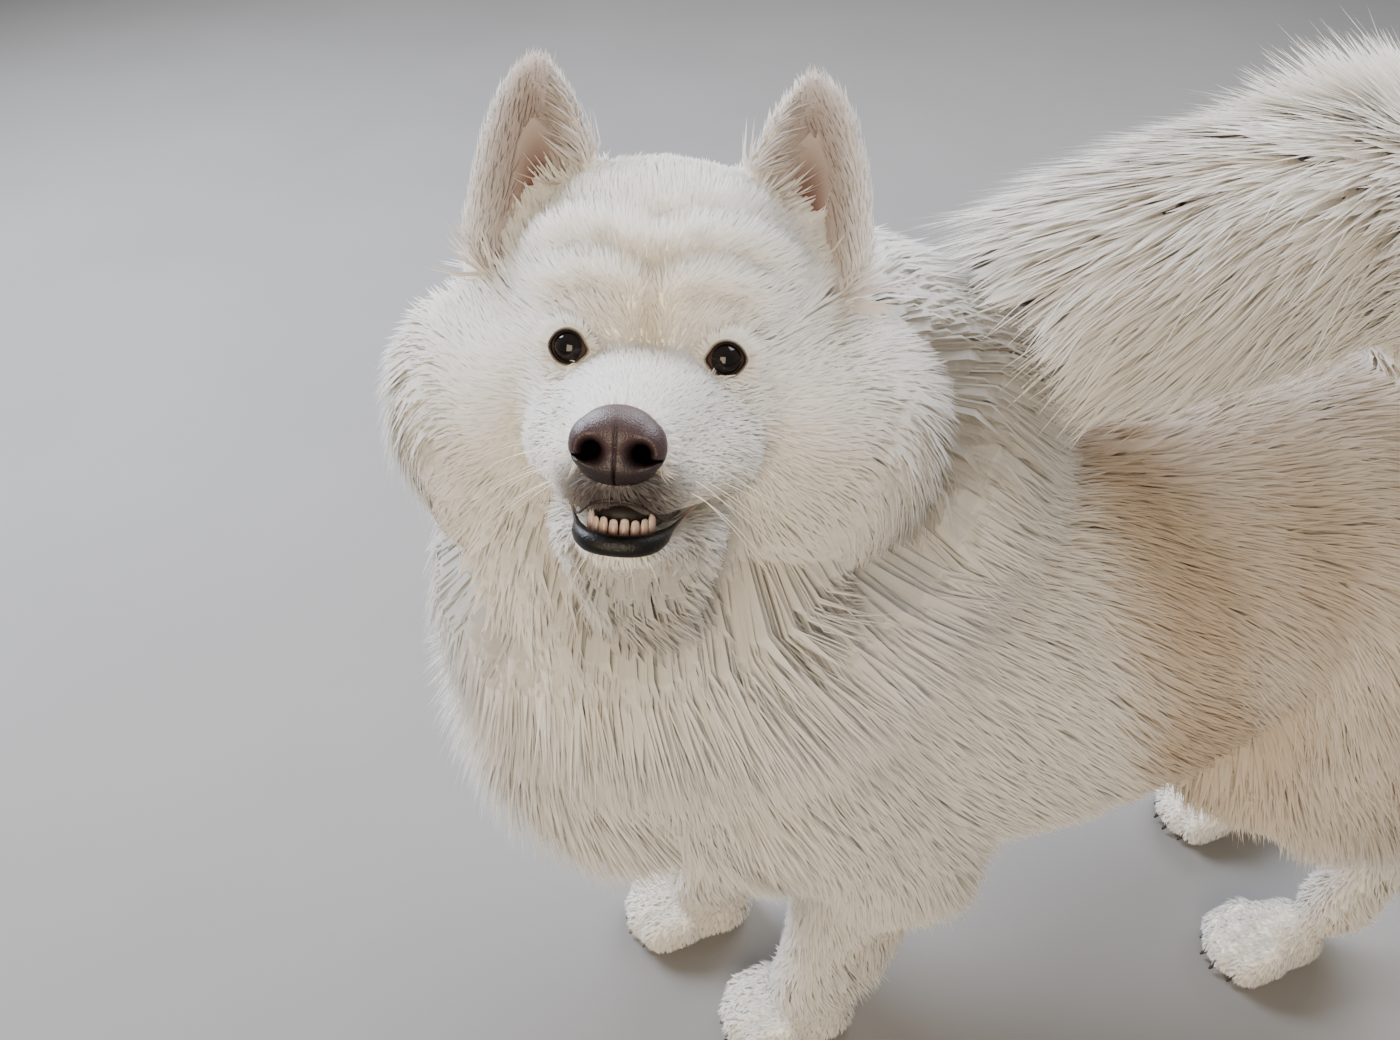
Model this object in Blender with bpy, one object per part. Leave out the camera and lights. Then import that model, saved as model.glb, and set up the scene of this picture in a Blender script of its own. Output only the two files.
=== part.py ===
"""A samoyed that stands with its head raised and turned to its left, life size.

The dog faces -Y, its left is +X and it stands on Z = 0.  Each form of the body is a
loft: round sections carried along a line of stations.  Lofts that belong together are
melted into one skin, and that skin is parted into the named pieces by thin cuts.
"""
import math
import random

import bmesh
import bpy
import numpy as np
from mathutils import Matrix, Vector
from mathutils.bvhtree import BVHTree

GAP = 0.0003               # clear space between two pieces that touch
TOUCHING = 1e-7            # points nearer than this count as one
CORE_SHARE = 0.45          # how far the solid core reaches into the depth of the long coat
FACE_SHARE = 0.85          # the same for the short fur of the head

LEFT = Vector((1.0, 0.0, 0.0))
BACK = Vector((0.0, 1.0, 0.0))
UP = Vector((0.0, 0.0, 1.0))

# The head has its own frame: origin midway between the eyes, muzzle along -Y.
HEAD_AT = Vector((0.112, -0.265, 0.732))
HEAD_TURN = math.radians(72.7)      # to the dog's left
HEAD_RAISE = math.radians(30.0)     # muzzle up
HEAD_ROLL = math.radians(2.7)
HEAD = (Matrix.Translation(HEAD_AT) @ Matrix.Rotation(HEAD_TURN, 4, UP)
        @ Matrix.Rotation(-HEAD_RAISE, 4, LEFT) @ Matrix.Rotation(HEAD_ROLL, 4, BACK))

EYE_RADIUS = 0.0105
EYE_PLACE = (0.0345, 0.0085, 0.0)    # the left eyeball's centre in the head's frame
EYE_OUTWARD = math.radians(10.0)    # how far each eye faces aside
LID_SIZE = (0.0110, 0.0100)         # half width and half height of the ring of the lids
LID_THICK = 0.0021
UPPER_LIP = ((0, -0.0760, -0.0585), (0.0110, -0.0730, -0.0605), (0.0205, -0.0560, -0.0645),
             (0.0275, -0.0340, -0.0640), (0.0360, -0.0100, -0.0570), (0.0430, 0.0100, -0.0480))
LOWER_LIP = ((0, -0.0675, -0.0700), (0.0120, -0.0640, -0.0705), (0.0180, -0.0500, -0.0700),
             (0.0225, -0.0340, -0.0665))
NOSE_FRONT = -0.079                 # where the nose leather starts on the muzzle

# Where the feet stand: side, place of the paw (left, back), heading outwards.
FORE_PAWS = {"left": (0.054, -0.165), "right": (-0.066, -0.225)}
HIND_PAWS = {"left": (0.090, 0.268), "right": (-0.056, 0.302)}
ELBOW = (0.078, -0.105, 0.290)
STIFLE = (0.090, 0.160, 0.300)
WRIST_HEIGHT = 0.120
HOCK_HEIGHT = 0.150
HOCK_BEHIND_PAW = 0.085


# The planes that part the dog into its pieces.
NECK_POINT = Vector((0.0, -0.250, 0.553))
NECK_NORMAL = Vector((0.03, -0.32, 0.95)).normalized()
HEAD_POINT = HEAD @ Vector((0.0, 0.075, -0.050))
HEAD_NORMAL = (HEAD.to_3x3() @ Vector((0.0, -0.62, 0.78))).normalized()
LEG_TOP = {"fore": 0.236, "hind": 0.242}
HOCK_CUT = 0.172           # height at which the hind foot parts from the shank
TAIL_CUT = 0.588           # height at which the plume lies on the back
TAIL_END = -0.090          # how far forward the plume reaches
TAIL_FOOT = 0.538          # height at which the tail stands on the croup
TAIL_SPLIT = 0.235         # where the tail bends from upright to lying
LEG_FACES = 380
ROOT_DEPTH = 0.014         # how deep a lock's root is sunk in the core
# A lock's sections: share of the length, the next one's share, width and thickness as shares.
LOCK_SECTIONS = ((0.0, 0.36, 0.80, 1.0), (0.36, 0.74, 1.0, 1.0), (0.74, 1.0, 0.62, 0.75))
SHARPEST_FOLD = 0.45       # cosine of the sharpest bend of the core that a lock follows
LOOSE = 0.001              # how far a lock may shift between two nodes that share it
HANG = 0.016               # how far below a leg's cut a lock of the trunk has to hang to be built


def clear_scene():
    for item in list(bpy.data.objects):
        bpy.data.objects.remove(item)


def on_head(x, y, z):
    """A place given in the head's frame, in the dog's."""
    return HEAD @ Vector((x, y, z))


def station(place, half_width, half_height, coat=0.0):
    """One section of a loft: its centre, its two radii and the depth of coat on it."""
    return np.array((*place, half_width, half_height, coat))


def head_station(x, y, z, half_width, half_height, coat=0.0):
    return station(on_head(x, y, z), half_width, half_height, coat)


def drawn_through(stations, per_span):
    """Catmull-Rom curve through the stations, the radii drawn along with the places."""
    ends = [2 * stations[0] - stations[1], *stations, 2 * stations[-1] - stations[-2]]
    rows = []
    for before, a, b, after in zip(ends, ends[1:], ends[2:], ends[3:]):
        for step in range(per_span):
            t = step / per_span
            rows.append(0.5 * (2 * a + (b - before) * t
                               + (2 * before - 5 * a + 4 * b - after) * t ** 2
                               + (3 * a - before - 3 * b + after) * t ** 3))
    rows.append(np.array(stations[-1]))
    return rows


def loft(name, stations, side=LEFT, share=CORE_SHARE, sides=20, cap_rings=4, per_span=4):
    """A closed form of oval sections along the stations, with a round cap at each end."""
    rows = drawn_through(stations, per_span)
    places = [Vector(row[:3]) for row in rows]
    radii = [(row[3] + share * row[5], row[4] + share * row[5]) for row in rows]
    along = [(b - a).normalized() for a, b in zip(places, places[1:])]
    along.append(along[-1])
    sections = []
    for end, order in ((0, range(1, cap_rings)), (-1, range(cap_rings - 1, 0, -1))):
        wide, high = radii[end]
        reach = 0.5 * (wide + high) * (1 if end else -1)
        cap = []
        for ring in order:
            angle = 0.5 * math.pi * ring / cap_rings
            size = math.sin(angle)
            place = places[end] + along[end] * reach * math.cos(angle)
            cap.append((place, along[end], wide * size, high * size))
        tip = places[end] + along[end] * reach
        if end == 0:
            sections += cap
            first_tip = tip
            sections += [(p, w, *r) for p, w, r in zip(places, along, radii)]
        else:
            sections += cap
            last_tip = tip
    bm = bmesh.new()
    rings = []
    for place, way, wide, high in sections:
        across = (side - way * side.dot(way)).normalized()
        upward = way.cross(across)
        rings.append([bm.verts.new(place + across * wide * math.cos(turn) + upward * high * math.sin(turn))
                      for turn in (2 * math.pi * k / sides for k in range(sides))])
    for low, high in zip(rings, rings[1:]):
        for k in range(sides):
            following = (k + 1) % sides
            bm.faces.new((low[k], low[following], high[following], high[k]))
    for ring, tip in ((rings[0], first_tip), (rings[-1], last_tip)):
        point = bm.verts.new(tip)
        for k in range(sides):
            bm.faces.new((ring[k], ring[(k + 1) % sides], point))
    return solid_from(name, bm)


def solid_from(name, bm):
    """A new object from a bmesh, in triangles that are turned outwards."""
    bmesh.ops.triangulate(bm, faces=bm.faces)
    bmesh.ops.recalc_face_normals(bm, faces=bm.faces)
    mesh = bpy.data.meshes.new(name)
    bm.to_mesh(mesh)
    bm.free()
    solid = bpy.data.objects.new(name, mesh)
    bpy.context.scene.collection.objects.link(solid)
    return solid


def applied(solid):
    """Replace an object's mesh by what its modifiers make of it."""
    bpy.context.view_layer.update()
    graph = bpy.context.evaluated_depsgraph_get()
    mesh = bpy.data.meshes.new_from_object(solid.evaluated_get(graph))
    solid.modifiers.clear()
    solid.data = mesh
    return solid


def melted(name, pieces, voxel, faces, smoothing=8):
    """One even skin over all the pieces, with its seams smoothed, in about that many triangles."""
    bm = bmesh.new()
    for piece in pieces:
        bm.from_mesh(piece.data)
        bpy.data.objects.remove(piece)
    solid = solid_from(name, bm)
    remesh = solid.modifiers.new("melt", "REMESH")
    remesh.mode = "VOXEL"
    remesh.voxel_size = voxel
    smooth = solid.modifiers.new("smooth", "SMOOTH")
    smooth.factor = 0.5
    smooth.iterations = smoothing
    return fewer_faces(applied(solid), faces)


def fewer_faces(solid, faces):
    """Collapse edges until about that many triangles are left."""
    count = sum(len(face.vertices) - 2 for face in solid.data.polygons)
    before = solid.data
    for wanted in range(faces, count, max(1, faces // 40)):
        solid.data = before
        fewer = solid.modifiers.new("fewer", "DECIMATE")
        fewer.ratio = min(1.0, wanted / count)
        fewer.use_collapse_triangulate = True
        applied(solid)
        if is_closed(solid):
            break
    return solid


def is_closed(solid):
    """Whether every edge joins exactly two faces, also once points that touch are one."""
    bm = bmesh.new()
    bm.from_mesh(solid.data)
    closed = edges_paired(bm)
    bmesh.ops.remove_doubles(bm, verts=bm.verts, dist=TOUCHING)
    closed = closed and edges_paired(bm)
    bm.free()
    return closed


def edges_paired(bm):
    return bool(bm.faces) and all(len(edge.link_faces) == 2 for edge in bm.edges)


def in_triangles(solid):
    """Cut the faces into triangles, by whichever way leaves no edge with more than two."""
    for way in ("BEAUTY", "EAR_CLIP"):
        bm = bmesh.new()
        bm.from_mesh(solid.data)
        bmesh.ops.triangulate(bm, faces=bm.faces, ngon_method=way)
        if edges_paired(bm):
            break
    bm.to_mesh(solid.data)
    bm.free()
    return solid


def boolean(solid, operation, other):
    """Cut away, or keep, what one other solid holds, and remove that solid."""
    cut = solid.modifiers.new(operation.lower(), "BOOLEAN")
    cut.operation = operation
    cut.object = other
    cut.solver = "MANIFOLD"
    applied(solid)
    removed(other)
    return in_triangles(solid)


def fused(solid, pieces):
    """One Boolean union of the solid and a collection of closed pieces."""
    group = bpy.data.collections.new("pieces of " + solid.name)
    for piece in pieces:
        bpy.context.scene.collection.objects.unlink(piece)
        group.objects.link(piece)
    bpy.context.scene.collection.children.link(group)
    join = solid.modifiers.new("join", "BOOLEAN")
    join.operation = "UNION"
    join.operand_type = "COLLECTION"
    join.collection = group
    join.solver = "MANIFOLD"
    applied(solid)
    removed(*pieces)
    bpy.data.collections.remove(group)
    return in_triangles(solid)


def coated(core, seeds, locks_for, parted):
    """The core with its locks fused on, cut into its nodes.

    The locks are drawn again until every node is one clean closed surface.  Returns the
    nodes and the locks that went into them.
    """
    for seed in seeds:
        locks = locks_for(seed)
        solid = fused(copy_of(core, core.name), [copy_of(piece, "lock") for piece in locks])
        nodes = parted(largest_only(solid))
        if all(is_closed(largest_only(node)) for node in nodes):
            break
        removed(*nodes, *locks)
    removed(core)
    return nodes, locks


def removed(*solids):
    for solid in solids:
        bpy.data.objects.remove(solid)


def copy_of(solid, name):
    twin = bpy.data.objects.new(name, solid.data.copy())
    bpy.context.scene.collection.objects.link(twin)
    return twin


def grown(solid, by=GAP):
    """A copy pushed outwards along its normals, to cut a neighbour clear of it."""
    twin = copy_of(solid, solid.name + " clearance")
    push = twin.modifiers.new("push", "DISPLACE")
    push.strength = by
    push.mid_level = 0.0
    return applied(twin)


def block(name, low, high, frame=Matrix.Identity(4)):
    """A box between two corners, in a frame."""
    bm = bmesh.new()
    bmesh.ops.create_cube(bm, size=1.0)
    low, high = Vector(low), Vector(high)
    size = Matrix.Diagonal((*(high - low), 1.0))
    bmesh.ops.transform(bm, matrix=frame @ Matrix.Translation((low + high) / 2) @ size, verts=bm.verts)
    return solid_from(name, bm)


def ball(name, place, radii, frame=Matrix.Identity(4), around=14, rings=9):
    bm = bmesh.new()
    bmesh.ops.create_uvsphere(bm, u_segments=around, v_segments=rings, radius=1.0)
    shape = Matrix.Translation(Vector(place)) @ Matrix.Diagonal((*radii, 1.0))
    bmesh.ops.transform(bm, matrix=frame @ shape, verts=bm.verts)
    return solid_from(name, bm)


def side_of(name, point, normal, reach=0.9, gap=GAP / 2):
    """The half of space beyond a plane, as a large block that starts half a gap past it."""
    turn = Vector(normal).normalized().to_track_quat("Z", "Y").to_matrix().to_4x4()
    frame = Matrix.Translation(Vector(point)) @ turn
    return block(name, (-reach, -reach, gap), (reach, reach, 2 * reach), frame)


def largest_only(solid):
    """Keep the one closed surface with the largest box, and drop scraps and sealed hollows."""
    bm = bmesh.new()
    bm.from_mesh(solid.data)
    left = set(bm.faces)
    groups = []
    while left:
        seed = left.pop()
        group, edge_of = [seed], [seed]
        while edge_of:
            for edge in edge_of.pop().edges:
                for face in edge.link_faces:
                    if face in left:
                        left.remove(face)
                        group.append(face)
                        edge_of.append(face)
        groups.append(group)

    def box_size(group):
        corners = np.array([vert.co for face in group for vert in face.verts])
        return np.prod(np.ptp(corners, axis=0))

    groups.sort(key=box_size)
    scraps = [face for group in groups[:-1] for face in group]
    bmesh.ops.delete(bm, geom=scraps, context="FACES")
    bm.to_mesh(solid.data)
    bm.free()
    return solid


def projected(way, normal):
    """A direction laid flat on the surface."""
    return (way - normal * way.dot(normal)).normalized()


def surface_of(solid):
    """A solid's face centres with their normals, and a tree that finds its nearest surface."""
    faces = [(face.center.copy(), face.normal.copy()) for face in solid.data.polygons]
    return faces, BVHTree.FromObject(solid, bpy.context.evaluated_depsgraph_get())


def roots_on(faces, spacing, accept, rng):
    """Places spread evenly over a surface: face centres in random order, none too near another."""
    order = list(faces)
    rng.shuffle(order)
    taken = []
    for place, normal in order:
        room = spacing * accept(place, normal)
        if room > 0 and all((place - other).length > room for other, _ in taken):
            taken.append((place, normal))
    return taken


def lock(tree, root, normal, lie, length, width, rise, rng):
    """A flat lock: three-sided sections that narrow to a tip, carried over the surface along its lie.

    The root is sunk in the core.  Each later section stands higher, up to the coat's full
    depth.  Where the surface folds too sharply for a lock to lie, there is none.
    """
    thick = 0.20 * width
    yaw = Matrix.Rotation(rng.uniform(-0.22, 0.22), 3, normal)
    length *= rng.uniform(0.88, 1.12)
    width *= rng.uniform(0.90, 1.10)
    rise *= rng.uniform(0.85, 1.10)
    place, up = root, normal
    rings = []
    for t, following, wide, high in LOCK_SECTIONS:
        way = projected(yaw @ lie(place, up), up)
        across = way.cross(up) * 0.5 * width * wide
        centre = place + up * lifted(rise, t)
        over = up * 0.5 * thick * high
        rings.append((centre + across - over, centre + over, centre - across - over))
        ahead = following - t
        place, bent, _, _ = tree.find_nearest(place + way * length * ahead)
        if bent.dot(up) < SHARPEST_FOLD or (place + bent * lifted(rise, following) - centre).dot(way) < 0:
            return None
        up = bent
    bm = bmesh.new()
    rings = [[bm.verts.new(corner) for corner in ring] for ring in rings]
    tip = bm.verts.new(place + up * lifted(rise, 1.0))
    bm.faces.new(rings[0])
    for low, high in zip(rings, rings[1:]):
        for k in range(3):
            following = (k + 1) % 3
            bm.faces.new((low[k], low[following], high[following], high[k]))
    for k in range(3):
        bm.faces.new((rings[-1][k], rings[-1][(k + 1) % 3], tip))
    return solid_from("lock", bm)


def lifted(rise, t):
    """Height of a lock's middle over the core at a share t of its length."""
    return -ROOT_DEPTH + (rise + ROOT_DEPTH) * (1 - (1 - t) ** 1.8)


def trunk_lie(place, normal):
    """Back along the trunk and down its sides; round the neck, away from the face and down."""
    from_face = (place - on_head(0, 0.02, -0.02)).normalized()
    ruff = smooth_step((place - NECK_POINT).dot(NECK_NORMAL), -0.10, 0.02)
    return ((BACK - 0.75 * UP) * (1 - ruff) + (0.9 * from_face - 0.8 * UP + 0.3 * BACK) * ruff)


def smooth_step(value, low, high):
    t = min(1.0, max(0.0, (value - low) / (high - low)))
    return t * t * (3 - 2 * t)


def locks_over(surface, spacing, accept, lie, size, seed):
    """Locks all over a surface; size gives each one's length, width and rise at its place."""
    rng = random.Random(seed)
    faces, tree = surface
    drawn = [lock(tree, place, normal, lie, *size(place, normal), rng)
             for place, normal in roots_on(faces, spacing, accept, rng)]
    return [piece for piece in drawn if piece]


def reaching(locks, low, high, seed):
    """Copies of the locks that hang well down into a block of space, each moved by a hair's breadth."""
    rng = random.Random(seed)
    found = []
    for piece in locks:
        places = np.array([vert.co for vert in piece.data.vertices])
        if (places.max(axis=0) > low).all() and (places.min(axis=0) < np.array(high) - (0, 0, HANG)).all():
            twin = copy_of(piece, "lock")
            twin.data.transform(Matrix.Translation([rng.uniform(-LOOSE, LOOSE) for _ in range(3)]))
            found.append(twin)
    return found


def finish_of(name, colour, roughness):
    """A plain Principled finish."""
    finish = bpy.data.materials.get(name) or bpy.data.materials.new(name)
    finish.use_nodes = True
    shader = finish.node_tree.nodes["Principled BSDF"]
    shader.inputs["Base Color"].default_value = (*colour, 1.0)
    shader.inputs["Roughness"].default_value = roughness
    finish.diffuse_color = (*colour, 1.0)
    return finish


def body_lofts():
    """Trunk, neck, shoulders, thighs and legs."""
    trunk = [
        station((-0.004, -0.242, 0.414), 0.082, 0.094, 0.056),
        station((0, -0.160, 0.410), 0.100, 0.128, 0.050),
        station((0, -0.060, 0.405), 0.108, 0.130, 0.045),
        station((0, 0.060, 0.417), 0.104, 0.116, 0.045),
        station((0, 0.160, 0.436), 0.094, 0.100, 0.045),
        station((0, 0.235, 0.447), 0.084, 0.088, 0.045),
        station((0, 0.275, 0.444), 0.066, 0.072, 0.048),
    ]
    neck = [
        station((0, -0.165, 0.455), 0.085, 0.085, 0.060),
        station((0.010, -0.212, 0.550), 0.082, 0.084, 0.068),
        station((0.030, -0.248, 0.638), 0.074, 0.084, 0.082),
        station(on_head(0, 0.080, -0.012), 0.056, 0.058, 0.066),
    ]
    mane = [
        station(on_head(0, 0.115, -0.008), 0.045, 0.050, 0.062),
        station((0.022, -0.168, 0.655), 0.050, 0.055, 0.066),
        station((0.004, -0.110, 0.570), 0.055, 0.055, 0.055),
    ]
    lofts = [loft("trunk", trunk), loft("neck", neck), loft("mane", mane)]
    for way, hand in ((1, "left"), (-1, "right")):
        lofts.append(loft("upper foreleg", fore_stations(way, hand)))
        lofts.append(loft("thigh", thigh_stations(way, hand)))
    return lofts


def fore_stations(way, hand):
    """Shoulder, elbow, wrist and the leg down to the paw."""
    paw_x, paw_y = FORE_PAWS[hand]
    lean = paw_y - FORE_PAWS["left"][1]
    elbow_x, elbow_y, elbow_z = ELBOW
    return [
        station((way * 0.068, -0.190 + 0.2 * lean, 0.430), 0.048, 0.060, 0.045),
        station((way * elbow_x, elbow_y + 0.4 * lean, elbow_z), 0.034, 0.042, 0.036),
        station((0.5 * (way * elbow_x + paw_x), paw_y + 0.048, 0.5 * (elbow_z + WRIST_HEIGHT)), 0.024, 0.029, 0.024),
        station((paw_x, paw_y + 0.036, WRIST_HEIGHT), 0.021, 0.023, 0.014),
        station((paw_x, paw_y + 0.022, 0.045), 0.020, 0.022, 0.012),
    ]


def thigh_stations(way, hand):
    """Hip, stifle, hock and the leg down to the paw."""
    paw_x, paw_y = HIND_PAWS[hand]
    lean = paw_y - HIND_PAWS["left"][1]
    stifle_x, stifle_y, stifle_z = STIFLE
    hock_y = paw_y + HOCK_BEHIND_PAW
    knee_x = 0.7 * way * stifle_x + 0.3 * paw_x
    return [
        station((way * 0.052, 0.225, 0.430), 0.062, 0.080, 0.045),
        station((knee_x, stifle_y + 0.03 + 0.5 * lean, stifle_z + 0.02), 0.046, 0.060, 0.040),
        station((0.5 * (knee_x + paw_x), 0.5 * (stifle_y + hock_y) + 0.045, 0.222), 0.030, 0.036, 0.032),
        station((paw_x, hock_y, HOCK_HEIGHT), 0.019, 0.024, 0.020),
        station((paw_x, hock_y - 0.010, 0.095), 0.017, 0.021, 0.016),
        station((paw_x, hock_y - 0.024, 0.045), 0.018, 0.022, 0.014),
    ]


def paw_lofts(paw_x, paw_y, scale):
    """Four toes side by side, the two middle ones ahead, and the pad behind them."""
    lofts = [loft("pad", [
        station((paw_x, paw_y + 0.036 * scale, 0.022), 0.028 * scale, 0.026),
        station((paw_x, paw_y + 0.006 * scale, 0.022), 0.031 * scale, 0.025)], sides=14)]
    for toe in range(4):
        off = toe - 1.5
        x, y = toe_place(paw_x, paw_y, scale, off)
        lofts.append(loft("toe", [
            station((x, y + 0.020 * scale, 0.024), 0.0120 * scale, 0.018),
            station((x, y, 0.017), 0.0115 * scale, 0.0175)], sides=12))
    return lofts


def toe_place(paw_x, paw_y, scale, off):
    """The middle of a toe's end; off counts the toes from the middle of the paw."""
    ahead = 0.009 if abs(off) < 1 else 0.0
    return paw_x + off * 0.0160 * scale, paw_y - (0.022 + ahead) * scale


def claws(paw_x, paw_y, scale):
    """A short blunt claw out of the front of each toe, curved down."""
    made = []
    for toe in range(4):
        x, y = toe_place(paw_x, paw_y, scale, toe - 1.5)
        y -= 0.008 * scale
        made.append(loft("claw", [
            station((x, y, 0.013), 0.0032, 0.0038), station((x, y - 0.006, 0.009), 0.0022, 0.0028),
            station((x, y - 0.0085, 0.005), 0.0012, 0.0016)], sides=5, cap_rings=2, per_span=1))
    return made


def leg(name, stations, paw_x, paw_y, scale):
    """A leg melted with its paw, with claws."""
    pieces = [loft("leg", stations)] + paw_lofts(paw_x, paw_y, scale)
    solid = melted(name, pieces, voxel=0.003, faces=LEG_FACES, smoothing=6)
    return fused(solid, claws(paw_x, paw_y, scale))


def feather_here(place, normal):
    """Long hair grows on the back of a leg, above the wrist or hock."""
    low = 0.085 if place.y < 0 else 0.155
    return 1.0 if normal.dot(BACK) > 0.25 and low < place.z < 0.30 else 0.0


def feather_lie(place, normal):
    return 0.5 * BACK - UP


def feather_size(place, normal):
    grow = smooth_step(place.z, 0.08, 0.22)
    return 0.065 + 0.045 * grow, 0.034 + 0.014 * grow, 0.020 + 0.034 * grow


def head_lofts():
    """Skull, muzzle, orbits, cheeks, brows and upper lips, all in the head's frame."""
    side = HEAD.to_3x3() @ LEFT
    lofts = [
        loft("cranium", [
            head_station(0, 0.062, 0.024, 0.053, 0.052, 0.022),
            head_station(0, 0.090, 0.020, 0.051, 0.050, 0.030)], side, FACE_SHARE),
        loft("forehead", [
            head_station(0, 0.054, 0.027, 0.044, 0.040, 0.012),
            head_station(0, 0.030, -0.004, 0.028, 0.022, 0.008)], side, FACE_SHARE),
        loft("muzzle", [
            head_station(0, 0.030, -0.026, 0.034, 0.028, 0.012),
            head_station(0, -0.006, -0.031, 0.030, 0.024, 0.011),
            head_station(0, -0.038, -0.034, 0.024, 0.020, 0.009),
            head_station(0, -0.066, -0.037, 0.019, 0.017, 0.004)], side, FACE_SHARE)]
    for way in (1, -1):
        lofts += [
            loft("cheek", [
                head_station(way * 0.026, 0.028, -0.022, 0.026, 0.028, 0.010),
                head_station(way * 0.040, 0.055, -0.026, 0.034, 0.036, 0.030),
                head_station(way * 0.054, 0.090, -0.030, 0.034, 0.040, 0.055)], side, FACE_SHARE),
            loft("orbit", [
                head_station(way * 0.032, 0.030, -0.004, 0.022, 0.020, 0.006),
                head_station(way * 0.044, 0.036, -0.010, 0.020, 0.020, 0.008)], side, FACE_SHARE),
            loft("brow", [
                head_station(way * 0.020, 0.020, 0.020, 0.011, 0.010, 0.006),
                head_station(way * 0.036, 0.026, 0.020, 0.012, 0.010, 0.007)], side, FACE_SHARE),
            loft("upper lip", [
                head_station(way * 0.034, 0.008, -0.040, 0.013, 0.015, 0.008),
                head_station(way * 0.024, -0.026, -0.045, 0.012, 0.013, 0.006),
                head_station(way * 0.012, -0.060, -0.047, 0.012, 0.012, 0.004)], side, FACE_SHARE)]
    return lofts


def lids(way):
    """The rims of both lids, a ring that rests on the eyeball a little ahead of its middle."""
    x, y, z = EYE_PLACE
    frame = (HEAD @ Matrix.Translation((way * x, y, z)) @ Matrix.Rotation(way * EYE_OUTWARD, 4, "Z")
             @ Matrix.Translation((0.0, -0.0062, 0.0)))
    around, sides = 12, 5
    bm = bmesh.new()
    rings = []
    for k in range(around):
        turn = 2 * math.pi * k / around
        spoke = Vector((math.cos(turn), 0.0, math.sin(turn)))
        corner = 0.0016 * max(0.0, abs(spoke.x) - 0.8) / 0.2
        centre = Vector((spoke.x * (LID_SIZE[0] + corner), 0.0016 * spoke.x ** 2, spoke.z * LID_SIZE[1]))
        rings.append([bm.verts.new(frame @ (centre + LID_THICK * (spoke * math.cos(a) + BACK * math.sin(a))))
                      for a in (2 * math.pi * j / sides for j in range(sides))])
    for low, high in zip(rings, rings[1:] + rings[:1]):
        for j in range(sides):
            following = (j + 1) % sides
            bm.faces.new((low[j], low[following], high[following], high[j]))
    return solid_from("lids", bm)


def lip_rim(way, line, radius):
    """The rim of one lip: from the middle of the mouth, out round the front and up to its corner."""
    return loft("lip rim", [head_station(way * x, y, z, radius, radius) for x, y, z in line],
                side=HEAD.to_3x3() @ BACK, sides=8, cap_rings=2, per_span=3)


def jaw_lofts():
    """The lower jaw, dropped a little so that the mouth stands open in front."""
    side = HEAD.to_3x3() @ LEFT
    return [loft("chin", [
        head_station(0, 0.034, -0.074, 0.034, 0.020),
        head_station(0, -0.020, -0.079, 0.024, 0.012),
        head_station(0, -0.050, -0.078, 0.017, 0.008)], side)] + [lip_rim(way, LOWER_LIP, 0.0032) for way in (1, -1)]


def teeth():
    """Six incisors between two canines, round the front of the lower jaw."""
    made = []
    side = HEAD.to_3x3() @ LEFT
    for k in range(8):
        turn = math.radians(-63 + 18 * k)
        canine = k in (0, 7)
        x, y = 0.0130 * math.sin(turn), -0.048 - 0.0125 * math.cos(turn)
        high = 0.0115 if canine else 0.0085
        wide = 0.0024 if canine else 0.0019
        foot = -0.0745
        made.append(loft("tooth", [
            head_station(x, y, foot, wide, wide),
            head_station(x, y, foot + high, 0.75 * wide, 0.55 * wide)],
            side, sides=4, cap_rings=1, per_span=1))
    return made


def nose_lofts():
    """The nose leather: a broad pad with a wing round each nostril."""
    side = HEAD.to_3x3() @ LEFT
    pieces = [ball("pad", (0, -0.081, -0.0285), (0.0165, 0.0125, 0.0120), HEAD),
              ball("base", (0, -0.083, -0.0400), (0.0095, 0.0100, 0.0080), HEAD)]
    for way in (1, -1):
        pieces.append(ball("wing", (way * 0.0098, -0.0825, -0.0325), (0.0092, 0.0110, 0.0105), HEAD))
    return pieces


def nostrils():
    """Round openings that run out to the side as a narrow slit, and the groove between them."""
    cuts = [ball("groove", (0, -0.0960, -0.0390), (0.0008, 0.0030, 0.0110), HEAD, 6, 4)]
    for way in (1, -1):
        cuts.append(ball("nostril", (way * 0.0072, -0.0930, -0.0345), (0.0036, 0.0060, 0.0036), HEAD, 8, 5))
        cuts.append(ball("slit", (way * 0.0130, -0.0920, -0.0375), (0.0060, 0.0045, 0.0014), HEAD, 6, 4))
    return cuts


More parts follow.
